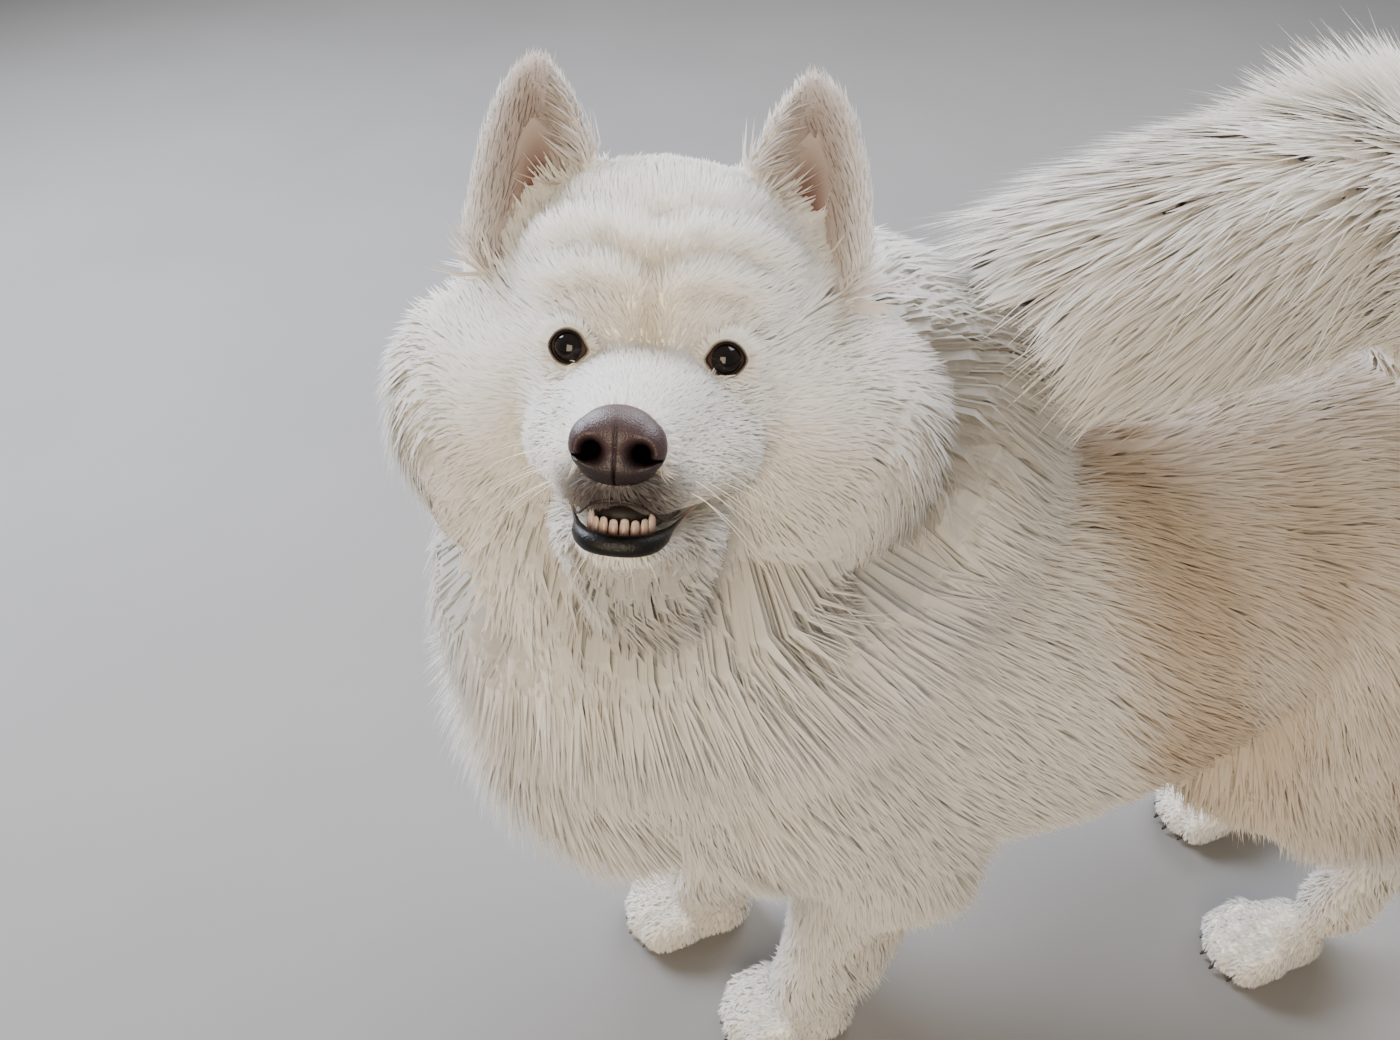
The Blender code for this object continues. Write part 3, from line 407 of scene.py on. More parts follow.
def hind_leg(way, hand):
    """Hip, stifle, hock and the leg down to the paw."""
    x, y = HIND_PAWS[hand]
    lean = y - HIND_PAWS["left"][1]
    hock = y + HOCK_BEHIND_PAW
    knee = 0.7 * way * STIFLE[0] + 0.3 * x
    return ((way * 0.052, 0.225, 0.430, 0.062, 0.080, 0.045),
            (knee, STIFLE[1] + 0.03 + 0.5 * lean, STIFLE[2] + 0.02, 0.046, 0.060, 0.040),
            (0.5 * (knee + x), 0.5 * (STIFLE[1] + hock) + 0.045, 0.222, 0.030, 0.036, 0.032),
            (x, hock, HOCK_HEIGHT, 0.019, 0.024, 0.020), (x, hock - 0.010, 0.095, 0.017, 0.021, 0.016),
            (x, hock - 0.024, 0.045, 0.018, 0.022, 0.014))


def toe_place(x, y, scale, off):
    """The end of a toe of the paw at x, y; the middle two stand ahead."""
    return x + off * 0.0160 * scale, y - (0.022 + (0.009 if abs(off) < 1 else 0.0)) * scale


def paw(x, y, scale):
    """Four arched toes side by side, and the pad behind them."""
    grids = [oval_loft(((x, y + 0.036 * scale, 0.022, 0.028 * scale, 0.026, 0),
                        (x, y + 0.006 * scale, 0.022, 0.031 * scale, 0.025, 0)))]
    for off in TOES:
        tx, ty = toe_place(x, y, scale, off)
        grids.append(oval_loft(((tx, ty + 0.020 * scale, 0.024, 0.0120 * scale, 0.018, 0),
                                (tx, ty, 0.017, 0.0115 * scale, 0.0175, 0))))
    return grids


def head_loft(*stations):
    """A loft of the head, grown by the share of short coat that the skin takes in."""
    return oval_loft([hstation(*row) for row in stations], HEAD_AXES @ LEFT, HEAD_SHARE)


def ear_grid(way, rows=40, columns=24):
    """A pricked ear: at height v a cup bowed as 1 - u^2, as wide as sqrt(1 - v^2.6) * (1 - 0.22 v),
    and drawn in at its foot.  The outer and the inner face are one closed ring at each height.
    """
    foot, tip = np.array(EAR_FOOT) * (way, 1, 1), np.array(EAR_TIP) * (way, 1, 1)
    v = np.linspace(0, 1, rows) ** 0.85
    narrow = (np.sqrt(np.maximum(0, 1 - v ** 2.6)) * (1 - 0.22 * v))[:, None]
    narrow = narrow * (0.55 + 0.45 * smooth_step(v, 0.0, 0.30))[:, None]
    u = np.linspace(-1, 1, columns)
    bow = EAR_DEPTH * narrow * (1 - u * u)
    hollow = np.maximum(bow - EAR_WALL, -0.2 * EAR_WALL) - 0.3 * EAR_WALL * (1 - np.abs(u))
    outer = np.stack([EAR_HALF_WIDTH * narrow * u, bow, 0 * bow], -1)
    inner = np.stack([EAR_HALF_WIDTH * narrow * u * 0.86, hollow, 0 * bow], -1)
    ring = np.concatenate([outer, inner[:, ::-1]], 1)
    ring[..., 1] -= 0.25 * EAR_DEPTH
    centre = foot + (tip - foot) * v[:, None]
    ring = ring + centre[:, None]
    return from_head(np.concatenate([0 * ring[:1] + ring[:1].mean(1, keepdims=True), ring]))


skin_grids = [oval_loft(TRUNK, sides=40), oval_loft(NECK, sides=40), oval_loft(MANE), oval_loft(TAIL)]
# Skull and brow, the bridge down to the nose, and the lower jaw.
skin_grids += [head_loft((0, 0.062, 0.024, 0.053, 0.052, 0.022), (0, 0.090, 0.020, 0.051, 0.050, 0.030)),
               head_loft((0, 0.054, 0.027, 0.044, 0.040, 0.012), (0, 0.030, -0.004, 0.028, 0.022, 0.008)),
               head_loft((0, 0.030, -0.026, 0.034, 0.028, 0.012), (0, -0.006, -0.031, 0.030, 0.024, 0.011),
                         (0, -0.038, -0.034, 0.024, 0.020, 0.009), (0, -0.066, -0.037, 0.019, 0.017, 0.004)),
               head_loft((0, 0.034, -0.074, 0.034, 0.020), (0, -0.020, -0.079, 0.024, 0.012),
                         (0, -0.050, -0.078, 0.017, 0.008))]
for way, hand in HANDS:
    skin_grids += [oval_loft(fore_leg(way, hand)), oval_loft(hind_leg(way, hand))]
    skin_grids += paw(*FORE_PAWS[hand], 1.0) + paw(*HIND_PAWS[hand], HIND_SCALE)
    # Cheek, the bone round the eye, brow, upper lip and ear.
    skin_grids += [head_loft((way * 0.026, 0.028, -0.022, 0.026, 0.028, 0.010),
                             (way * 0.040, 0.055, -0.026, 0.034, 0.036, 0.030),
                             (way * 0.054, 0.090, -0.030, 0.034, 0.040, 0.055)),
                   head_loft((way * 0.032, 0.030, -0.004, 0.022, 0.020, 0.006),
                             (way * 0.044, 0.036, -0.010, 0.020, 0.020, 0.008)),
                   head_loft((way * 0.020, 0.020, 0.020, 0.011, 0.010, 0.006),
                             (way * 0.036, 0.026, 0.020, 0.012, 0.010, 0.007)),
                   head_loft((way * 0.034, 0.008, -0.040, 0.013, 0.015, 0.008),
                             (way * 0.024, -0.026, -0.045, 0.012, 0.013, 0.006),
                             (way * 0.012, -0.060, -0.047, 0.012, 0.012, 0.004)),
                   ear_grid(way)]

# Skin with its short underhair: matt, painted with the colour of the coat's roots.
skin_finish = material("haired skin", painted=True, Roughness=0.85, Sheen_Weight=0.05)[0]
skin, skin_places, skin_quads = melted("skin", skin_grids, SKIN_VOXEL, skin_finish)
local = in_head(skin_places)
height = local[:, 2]
thin = (height > 0.045) & (np.linalg.norm(local - SKULL, axis=1) > 0.074) & (height < 0.15)
skin_places = smoothed(skin_places, skin_quads, 8, np.where(thin, 0.06, 0.5))

# Cheeks, crown and throat run into one another: the hollows between the lofts of the head are filled.
local = in_head(skin_places)
x, y, z = local.T
normals = point_normals(skin_places, skin_quads)
rise = ((calmed(skin, skin_places, 280) - skin_places) * normals).sum(1)
off_eye = np.linalg.norm(np.column_stack([np.abs(x), y, z]) - EYE_PLACE, axis=1)
filled = np.maximum(smooth_step(y + 0.8 * (np.abs(x) - 0.020), -0.018, 0.018),
                    smooth_step(-z, 0.078, 0.092) * smooth_step(y, -0.055, -0.02))
filled = filled * smooth_step(off_eye, 0.015, 0.028)
filled = filled * (1 - smooth_step(np.linalg.norm(local, axis=1), 0.13, 0.17))
skin_places = skin_places + normals * (filled * np.clip(1.4 * rise, 0, DEEPEST_FILL))[:, None]

# Soft folds run round above each brow, and a furrow divides them from the stop to the crown.
local = in_head(skin_places)
x, y, z = local.T
normals = point_normals(skin_places, skin_quads)
brow = np.hypot(np.abs(x) - 0.026, z - 0.004)
there = smooth_step(z, 0.016, 0.030) * smooth_step(0.075 - z, 0.0, 0.02)
there = there * smooth_step(0.080 - y, 0.0, 0.02) * smooth_step(0.062 - np.abs(x), 0.0, 0.02)
folds = FOLD_HEIGHT * np.cos(2 * np.pi * (brow - 0.030) / FOLD_SPACING) * there
furrow = -FURROW_DEPTH * np.exp(-(x / FURROW_WIDTH) ** 2) * smooth_step(z, 0.004, 0.018)
furrow = furrow * smooth_step(0.075 - z, 0, 0.03)
furrow = furrow * smooth_step(0.070 - y, 0.0, 0.02) * (np.linalg.norm(local, axis=1) < 0.12)
skin_places = skin_places + normals * (folds + furrow)[:, None]
local = in_head(skin_places)
x, y, z = local.T
behind_nose = (np.abs(x) < 0.016) & (z > -0.046) & (z < -0.020)
local[:, 1] = np.where(behind_nose, np.maximum(y, NOSE_BACK), y)
skin_places = from_head(local)
skin_places[:, 2] = np.maximum(skin_places[:, 2], 0.0)
place_points(skin, skin_places)
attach(skin, "root")
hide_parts("head", "jaw", "neck", "torso", "tail_root", "tail_plume", "ear_left", "ear_right",
            "foreleg_left", "foreleg_right", "hindleg_left", "hindleg_right",
            "hindfoot_left", "hindfoot_right")

# ---------------------------------------------------------------- eyes
# Dark brown eyes, a moist clear cornea over a deep iris.  Each ball sits in its socket and
# looks a little outwards.
EYE_RADIUS, CORNEA_RISE, EYE_OUTWARD = 0.0105, 0.0007, 10.0
EYE_FRAMES = {hand: np.array(Matrix.Translation((way * EYE_PLACE[0], *EYE_PLACE[1:]))
                             @ Matrix.Rotation(math.radians(way * EYE_OUTWARD), 4, "Z"))
              for way, hand in HANDS}


def from_frame(places, matrix):
    """Rows of places moved out of a frame inside the head's, into the dog's."""
    return from_head(places @ matrix[:3, :3].T + matrix[:3, 3])


def ball_grid(radius_at, rings=48, sides=64):
    """A closed ball round -Y, at polar angle a and turn b: radius(a) * (sin a cos b, -cos a, sin a sin b)."""
    angle = np.linspace(0, np.pi, rings)[:, None]
    turn = 2 * np.pi * np.arange(sides) / sides
    radius = radius_at(angle)
    grid = np.stack([radius * np.sin(angle) * np.cos(turn), -radius * np.cos(angle) + 0 * turn,
                     radius * np.sin(angle) * np.sin(turn)], -1)
    return grid, np.broadcast_to(angle, grid.shape[:2]), np.broadcast_to(turn, grid.shape[:2])


def merged(made, distance=1e-6):
    """Joins the points of a mesh that coincide, so that poles and seams are closed."""
    weld = made.modifiers.new("weld", "WELD")
    weld.merge_threshold = distance
    applied(made)
    return made


# Cornea and iris: clear, wet and smooth, IOR 1.38; the iris has fine radial fibres and a dark rim.
eye_finish = material("wet cornea", painted=True, Roughness=0.05, IOR=1.38)[0]
for hand, shape in EYE_FRAMES.items():
    grid, angle, turn = ball_grid(lambda a: EYE_RADIUS + CORNEA_RISE * np.exp(-(a / 0.50) ** 4))
    places, faces = joined(grid)
    eye = mesh_object(f"eyeball_{hand}", from_frame(places, shape), faces, eye_finish)
    fibres = 0.5 + 0.5 * np.sin(37 * turn + 9 * np.sin(5 * turn)) * np.sin(61 * turn + 1.3)
    ring = angle.reshape(-1, 1)
    shade = mixed("170d09", "0d0705", fibres.reshape(-1, 1)) * (1 - 0.6 * smooth_step(ring, 0.45, 0.66))
    shade = mixed(shade, "050404", smooth_step(0.27 - ring, -0.02, 0.02))
    colour_points(eye, mixed(shade, "4a3a33", smooth_step(ring, 0.68, 0.76)))
    merged(eye)
    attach(eye, "root")
    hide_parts("eye_" + hand)

# Lids: a thin black moist rim that hugs the ball, drawn to a point at both corners, and the
# haired lid outside it, which runs in under the skin.  Rows: outwards, forwards, paleness.
LID_OPENING = (0.0077, 0.0072)
LID_ROWS = ((-0.0002, -0.0012, 0.0), (0.0001, 0.0003, 0.0), (0.0005, 0.0008, 0.0), (0.0010, 0.0009, 0.1),
            (0.0015, 0.0003, 0.5), (0.0022, -0.0010, 1.0), (0.0032, -0.0036, 1.0), (0.0040, -0.0070, 1.0))
LID_THICKNESS = 0.0006


def lid_grid(way, sides=72):
    """The opening's edge at a turn b, on the ball: x = wide cos b (1 + 0.11 cos^16 b), z = high sin^1.05 b.

    The inner corner is drawn down a little towards the nose.  The rows go outwards from the
    edge, and those of the upper lid stand further forward than those of the lower.
    """
    b = 2 * np.pi * np.arange(sides) / sides
    wide, high = LID_OPENING
    inner = np.where(-way * np.cos(b) > 0, np.abs(np.cos(b)) ** 8, 0)
    x = wide * np.cos(b) * (1 + 0.11 * np.abs(np.cos(b)) ** 16)
    z = high * np.sign(np.sin(b)) * np.abs(np.sin(b)) ** 1.05 - 0.0010 * inner
    spoke = unit(np.stack([np.cos(b) * high, np.sin(b) * wide], 1))
    depth = np.sqrt(np.maximum((EYE_RADIUS + 0.0005) ** 2 - x ** 2 - z ** 2, 0))
    return np.array([np.stack([x + spoke[:, 0] * out, -depth - ahead * (1 + 0.35 * np.sin(b)),
                               z + spoke[:, 1] * out], 1) for out, ahead, _ in LID_ROWS])


def wrinkled(tree, shader, scale, detail, strength, distance):
    """Gives a finish a relief of soft folds, that many to the metre."""
    coords = add_node(tree, "ShaderNodeTexCoord")
    folds = add_node(tree, "ShaderNodeTexNoise", [("Vector", coords, "Object")], in_Scale=scale,
                     in_Detail=detail)
    relief = add_node(tree, "ShaderNodeBump", [("Height", folds, "Fac")], in_Strength=strength,
                      in_Distance=distance)
    tree.links.new(relief.outputs["Normal"], shader.inputs["Normal"])


# Moist black skin with folds about 0.4 mm apart.
lid_finish, tree, shader = material("moist lid skin", painted=True, Roughness=0.30, Coat_Weight=0.25,
                                    Coat_Roughness=0.2)
wrinkled(tree, shader, 2500.0, 2.0, 0.4, 0.0002)
for way, hand in HANDS:
    grid = lid_grid(way)
    places, faces = joined(grid)
    lids = mesh_object(f"lids_{hand}", from_frame(places, EYE_FRAMES[hand]), faces[:, ::-1], lid_finish)
    pale = np.repeat([row[2] for row in LID_ROWS], grid.shape[1])[:, None]
    colour_points(lids, mixed("17100e", "d8cbb8", pale))
    thick = lids.modifiers.new("thick", "SOLIDIFY")
    thick.thickness = LID_THICKNESS
    thick.offset = -1.0
    applied(lids)
    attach(lids, "root")

# ---------------------------------------------------------------- nose
# The nose leather: a broad liver-brown pad of pebbled, hairless skin, with a wing round each
# nostril, a slit from each nostril out to the side, and a groove down the middle.
NOSTRIL_AT, NOSTRIL_SIZE, NOSTRIL_DEPTH = (0.0098, -0.0345), 0.0044, 0.0105
SLIT_DROP, SLIT_SLOPE, SLIT_WIDTH, SLIT_DEPTH = 0.0034, 0.10, 0.0011, 0.0035
GROOVE_WIDTH, GROOVE_DEPTH = 0.0006, 0.0010
# Place and radii: the pad, its lower half, and the two wings.
NOSE_PARTS = (((0, -0.0810, -0.0285), (0.0165, 0.0125, 0.0120)),
              ((0, -0.0813, -0.0386), (0.0166, 0.0106, 0.0102)),
              ((0.0104, -0.0822, -0.0325), (0.0092, 0.0112, 0.0112)),
              ((-0.0104, -0.0822, -0.0325), (0.0092, 0.0112, 0.0112)))

# Leather with pebbles of about 0.7 mm and a mottle of about 5 mm.
nose_finish, tree, shader = material("nose leather", Roughness=0.45)
hue = add_node(tree, "ShaderNodeAttribute", attribute_name="hue")
coords = add_node(tree, "ShaderNodeTexCoord")
pebbles = add_node(tree, "ShaderNodeTexVoronoi", [("Vector", coords, "Object")], in_Scale=1400.0)
relief = add_node(tree, "ShaderNodeBump", [("Height", pebbles, "Distance")], invert=True, in_Strength=0.55,
                  in_Distance=0.00035)
mottle = add_node(tree, "ShaderNodeTexNoise", [("Vector", coords, "Object")], in_Scale=220.0, in_Detail=3.0)
tone = add_node(tree, "ShaderNodeMapRange", [("Value", mottle, "Fac")], in_To_Min=0.75, in_To_Max=1.25)
shade = add_node(tree, "ShaderNodeVectorMath", [(0, hue, "Color"), (1, tone, "Result")], operation="MULTIPLY")
# Dark folds and nostrils, painted as shade, don't shine.
parts = add_node(tree, "ShaderNodeSeparateColor", [("Color", hue, "Color")])
shine = add_node(tree, "ShaderNodeMapRange", [("Value", parts, "Red")], in_From_Min=0.006, in_From_Max=0.018,
                 in_To_Max=0.5)
tree.links.new(shine.outputs["Result"], shader.inputs["Specular IOR Level"])
tree.links.new(shade.outputs["Vector"], shader.inputs["Base Color"])
tree.links.new(relief.outputs["Normal"], shader.inputs["Normal"])

ball = ball_grid(lambda a: 1.0, 24, 32)[0]
nose_grids = [from_head(ball * radii + place) for place, radii in NOSE_PARTS]
nose, nose_places, nose_quads = melted("nose_leather", nose_grids, 0.0006, nose_finish)
local = in_head(smoothed(nose_places, nose_quads, 14))
x, y, z = local.T
aside = np.abs(x)
front = smooth_step(-y, 0.0835, 0.0875)
hole = np.exp(-(((aside - NOSTRIL_AT[0]) / NOSTRIL_SIZE) ** 2
                + ((z - NOSTRIL_AT[1]) / NOSTRIL_SIZE) ** 2) ** 1.4)
run = smooth_step(aside, 0.0100, 0.0120) * (1 - smooth_step(aside, 0.0175, 0.0195))
slit = run * np.exp(-((z - NOSTRIL_AT[1] + SLIT_DROP - SLIT_SLOPE * (aside - 0.0100)) / SLIT_WIDTH) ** 2)
groove = np.exp(-(aside / GROOVE_WIDTH) ** 2) * smooth_step(-z, 0.020, 0.026)
# The leather is painted darker over its lower half as shade, and lighter on top as a painted sheen.
brown = mixed("38262a", "1d1415", smooth_step(-z, 0.030, 0.046)[:, None])
brown = mixed(brown, "6a5c58", 0.3 * smooth_step(z, -0.026, -0.018)[:, None])
# The nostrils, the slits and the groove are painted near black as the shade in them.
dark = np.clip(1.6 * hole * front + slit + 0.7 * groove, 0, 1)[:, None]
colour_points(nose, mixed(brown, "050303", dark))
local[:, 1] += (NOSTRIL_DEPTH * hole * front + SLIT_DEPTH * slit * smooth_step(-y, 0.078, 0.083)
                + GROOVE_DEPTH * groove * front)
place_points(nose, smoothed(from_head(local), nose_quads, 1, 0.3))
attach(nose, "root")
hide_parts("nose")

# ---------------------------------------------------------------- mouth
# The mouth stands a little open in front: black moist lower lip, six small worn incisors
# between two canines, a thin brown edge to the upper lip, and a pink crease up to each corner.
# The left half of each lip's rim from the middle: a place in the head's frame and a radius.
UPPER_LIP = ((0, -0.0720, -0.0562, 0.0008), (0.0110, -0.0692, -0.0586, 0.0008),
             (0.0180, -0.0560, -0.0652, 0.0006), (0.0234, -0.0360, -0.0662, 0.0004),
             (0.0335, -0.0120, -0.0588, 0.0003), (0.0410, 0.0080, -0.0500, 0.0003))
LOWER_LIP = ((0, -0.0680, -0.0755, 0.0046), (0.0105, -0.0652, -0.0750, 0.0046),
             (0.0170, -0.0560, -0.0733, 0.0038), (0.0216, -0.0410, -0.0695, 0.0010),
             (0.0310, -0.0150, -0.0608, 0.0005), (0.0410, 0.0085, -0.0500, 0.0004))
GUMS = ((0, -0.0440, -0.0660, 0.0150, 0.0080), (0, -0.0300, -0.0660, 0.0190, 0.0090),
        (0, -0.0150, -0.0660, 0.0220, 0.0095))
TEETH, TOOTH_TURN = 8, 19           # number of teeth in the row, degrees from one to the next
TOOTH_ARCH, ARCH_MIDDLE, TOOTH_FOOT = (0.0138, 0.0128), -0.0492, -0.0775


def lip_grid(line, sides=14):
    """A rim carried from one corner of the mouth round the front to the other."""
    half = [hstation(x, y, z, radius, 0.85 * radius) for x, y, z, radius in line]
    other = [hstation(-x, y, z, radius, 0.85 * radius) for x, y, z, radius in line[:0:-1]]
    return oval_loft(other + half, HEAD_AXES @ UP, 0.0, sides, per_span=12, cap_rings=4)


# Black lip skin with papillae and creases about 1 mm apart.
lip_finish, tree, shader = material("wet lip", painted=True, Roughness=0.42, Specular_IOR_Level=0.28)
wrinkled(tree, shader, 900.0, 3.0, 0.6, 0.0006)
for name, line, front_hue in (("lip_upper", UPPER_LIP, "241b1a"), ("lip_lower", LOWER_LIP, "080606")):
    places, faces = joined(lip_grid(line))
    lip = mesh_object(name, places, faces, lip_finish)
    corner = smooth_step(np.abs(in_head(places)[:, 0]), 0.021, 0.028)[:, None]
    colour_points(lip, mixed(front_hue, "96786a", corner))
    merged(lip)
    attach(lip, "root")

# Gums and palate close the mouth behind the teeth: dark red, wet.
gum_finish = material("gum", Base_Color="160a09", Roughness=0.55)[0]
grid = oval_loft([hstation(*row) for row in GUMS], HEAD_AXES @ LEFT, sides=32)
gums = merged(mesh_object("gums", *joined(grid), gum_finish))
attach(gums, "root")

# Teeth: ivory enamel, a little worn and pinkish towards the gum.
tooth_finish = material("tooth enamel", painted=True, Roughness=0.28, Subsurface_Weight=0.15,
                        Subsurface_Scale=0.002)[0]
teeth_grids = []
for k in range(TEETH):
    turn = math.radians((k - (TEETH - 1) / 2) * TOOTH_TURN)
    canine = k in (0, TEETH - 1)
    x, y = TOOTH_ARCH[0] * math.sin(turn), ARCH_MIDDLE - TOOTH_ARCH[1] * math.cos(turn)
    high, wide = (0.0140, 0.0024) if canine else (0.0112 - 0.0005 * (k % 2), 0.00205)
    edge = 0.35 if canine else 0.85
    rows = ((0.0, wide, 0.0016), (0.75, wide, 0.0015), (1.0, edge * wide, 0.0008))
    stations = [hstation(x, y, TOOTH_FOOT + share * high, half, thick) for share, half, thick in rows]
    teeth_grids.append(oval_loft(stations, HEAD_AXES @ (math.cos(turn), math.sin(turn), 0), sides=14))
places, faces = joined(*teeth_grids)
teeth = mesh_object("teeth", places, faces, tooth_finish)
colour_points(teeth, mixed("c2aea2", "8e6c62", smooth_step(-in_head(places)[:, 2], 0.0665, 0.0725)[:, None]))
merged(teeth)
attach(teeth, "root")

# ---------------------------------------------------------------- claws and pads
# Blunt horn claws, worn by walking, one out of each toe, and the black pads under the feet.
claw_finish = material("claw horn", Base_Color="3b302a", Roughness=0.38)[0]
pad_finish = material("pad leather", Base_Color="2a2524", Roughness=0.80)[0]
claw_grids, pad_grids = [], []
for spots, scale in ((FORE_PAWS, 1.0), (HIND_PAWS, HIND_SCALE)):
    for x, y in spots.values():
        for off in TOES:
            tx, ty = toe_place(x, y, scale, off)
            cy = ty - 0.008 * scale
            claw_grids.append(oval_loft(((tx, cy, 0.0130, 0.0028, 0.0036, 0),
                                         (tx, cy - 0.0060, 0.0095, 0.0022, 0.0029, 0),
                                         (tx, cy - 0.0098, 0.0050, 0.0011, 0.0014, 0)), sides=12))
            pad_grids.append(oval_loft(((tx, ty + 0.010, 0.0040, 0.0080, 0.0042, 0),
                                        (tx, ty - 0.001, 0.0045, 0.0078, 0.0045, 0))))
        pad_grids.append(oval_loft(((x, y + 0.030, 0.0055, 0.0150, 0.0055, 0),
                                    (x, y + 0.014, 0.0055, 0.0170, 0.0055, 0))))
for name, grids, finish in (("claws", claw_grids, claw_finish), ("paw_pads", pad_grids, pad_finish)):
    places, faces = joined(*grids)
    places[:, 2] = np.maximum(places[:, 2], 0.0)
    made = merged(mesh_object(name, places, faces, finish))
    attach(made, "root")

# ---------------------------------------------------------------- whiskers
# Stiff white hairs in rows on the upper lip, and a few over each eye and on the chin.
whisker_finish = material("whisker", Base_Color="efe9dd", Roughness=0.35)[0]
WHISKER_RADIUS = 0.00020
rng = np.random.default_rng(12)
# Root on the left side, heading, length, all in the head's frame.
WHISKER_ROWS = [((0.0225 + 0.0012 * row, -0.0560 + 0.0100 * n, -0.0400 - 0.0058 * row),
                 (1.0, -0.10 + 0.22 * n, 0.05 - 0.25 * row), 0.036 + 0.010 * n)
                for row in range(3) for n in range(4)]
WHISKER_ROWS += [((0.024 + 0.003 * n, 0.0035, 0.0150), (0.25 + 0.15 * n, -0.55, 0.9), 0.026)
                 for n in range(3)]
WHISKER_ROWS += [((0.005 + 0.008 * n, -0.0590, -0.0830), (0.3 + 0.3 * n, -0.3, -1.0), 0.014)
                 for n in range(2)]
whisker_grids = []
for way, _ in HANDS:
    for root, heading, length in WHISKER_ROWS:
        t = np.linspace(0, 1, 9)[:, None]
        heading = unit(np.array(heading) + rng.normal(0, 0.10, 3))
        droop = np.array((0, 0.25, -0.45)) * rng.uniform(0.3, 1.2)
        line = np.array(root) + (heading * t + droop * t ** 2) * length * rng.uniform(0.8, 1.2)
        radius = WHISKER_RADIUS * (1 - 0.80 * t)
        whisker_grids.append(oval_loft(np.hstack([from_head(line * (way, 1, 1)), radius, radius, 0 * t]),
                                       HEAD_AXES @ (0.2, 0.9, 0.3), sides=5, per_span=1, cap_rings=2))
whiskers = merged(mesh_object("whiskers", *joined(*whisker_grids), whisker_finish), 1e-7)
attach(whiskers, "root")

# ---------------------------------------------------------------- how the coat grows
# A samoyed's coat: dense soft underwool with long straight guard hair standing off it, longest on
# the neck, chest, breeches and tail, short and smooth on the face, the front of the legs and the feet.
HEAD_BONE = (hstation(0, 0.100, 0.020, 0.052, 0.052, 0.026),
             hstation(0, 0.050, 0.018, 0.050, 0.046, 0.016),
             hstation(0, 0.010, -0.020, 0.034, 0.030, 0.010),
             hstation(0, -0.030, -0.040, 0.026, 0.026, 0.008),
             hstation(0, -0.075, -0.042, 0.020, 0.020, 0.004))
AXES = {"trunk": TRUNK, "neck": NECK, "mane": MANE, "tail": TAIL, "head": HEAD_BONE}
for way, hand in HANDS:
    for end, leg, spots in (("fore_", fore_leg, FORE_PAWS), ("hind_", hind_leg, HIND_PAWS)):
        x, y = spots[hand]
        toes = ((x, y + 0.012, 0.024, 0.026, 0.024, 0), (x, y - 0.026, 0.016, 0.027, 0.018, 0))
        AXES[end + hand] = leg(way, hand) + toes
    AXES["cheek_" + hand] = (hstation(way * 0.040, 0.055, -0.026, 0.046, 0.046, 0.030),
                             hstation(way * 0.054, 0.090, -0.030, 0.060, 0.064, 0.055))
    AXES["ear_" + hand] = (hstation(way * 0.062, 0.066, 0.045, 0.034, 0.020, 0.0),
                           hstation(way * 0.068, 0.066, 0.128, 0.020, 0.012, 0.0))
KINDS = tuple(AXES)
# Room between roots.
ROOM = {"trunk": 0.0036, "neck": 0.00275, "mane": 0.0029, "tail": 0.0021, "head": 0.00175,
        "cheek_left": 0.0022, "cheek_right": 0.0022, "ear_left": 0.0018, "ear_right": 0.0018,
        "fore_left": 0.0037, "fore_right": 0.0037, "hind_left": 0.0041, "hind_right": 0.0041}
NO_ROOT = 1.0                       # added to the room where no hair grows


def along_axis(places, stations):
    """For each place: nearest row of the axis, distance over its radius, share along, heading, turn."""
    rows = drawn_through(stations, 8)
    way = unit(np.gradient(rows[:, :3], axis=0))
    square = (places ** 2).sum(1)[:, None] + (rows[:, :3] ** 2).sum(1) - 2 * places @ rows[:, :3].T
    nearest = square.argmin(1)
    row, heading = rows[nearest], way[nearest]
    spoke = places - row[:, :3]
    spoke = spoke - heading * (spoke * heading).sum(1)[:, None]
    across = unit(np.cross(heading, (0.31, 0.17, 0.93)))
    turn = np.arctan2((spoke * across).sum(1), (spoke * np.cross(heading, across)).sum(1))
    gap = np.sqrt(np.maximum(square[np.arange(len(places)), nearest], 0)) / (0.5 * (row[:, 3] + row[:, 4]))
    return row, gap, nearest / (len(rows) - 1), heading, turn


def waves(places, size, seed):
    """Three smooth values near -1 to 1, each from four sines of random heading, about size long."""
    rng = np.random.default_rng(seed)
    heading = unit(rng.normal(size=(3, 4, 3))) * (2 * np.pi / size) * rng.uniform(0.6, 1.5, (3, 4, 1))
    phase = rng.uniform(0, 2 * np.pi, (3, 4))
    return np.sin(np.einsum("nk,ajk->naj", places, heading) + phase).mean(2) * 1.6


def cell_of(places, size):
    """One whole number for the cell, of a grid of that size, that each place lies in."""
    cell = np.floor(places / size).astype(np.int64) + 4096
    return (cell[:, 0] * 8192 + cell[:, 1]) * 8192 + cell[:, 2]


def scattered(places, quads, spacing, seed):
    """Roots over a skin: random points on its faces, thinned to one in each cell of a grid.

    The cells are as wide as the spacing there.  Returns the roots, and the corners of each
    root's face with their shares in it.
    """
    rng = np.random.default_rng(seed)
    a, b, c, d = (places[quads[:, k]] for k in range(4))
    area = 0.5 * np.linalg.norm(np.cross(c - a, d - b), axis=1)
    space = spacing[quads].mean(1)
    count = rng.poisson(np.where(space < 0.02, 4 * area / space ** 2, 0))
    face = np.repeat(np.arange(len(quads)), count)
    u, v = rng.random((2, len(face), 1))
    share = np.stack([(1 - u) * (1 - v), u * (1 - v), u * v, (1 - u) * v], 1)
    root = (places[quads[face]] * share).sum(1)
    key = cell_of(root, space[face][:, None])
    order = rng.permutation(len(key))
    kept = order[np.unique(key[order], return_index=True)[1]]
    return root[kept], quads[face][kept], share[kept]


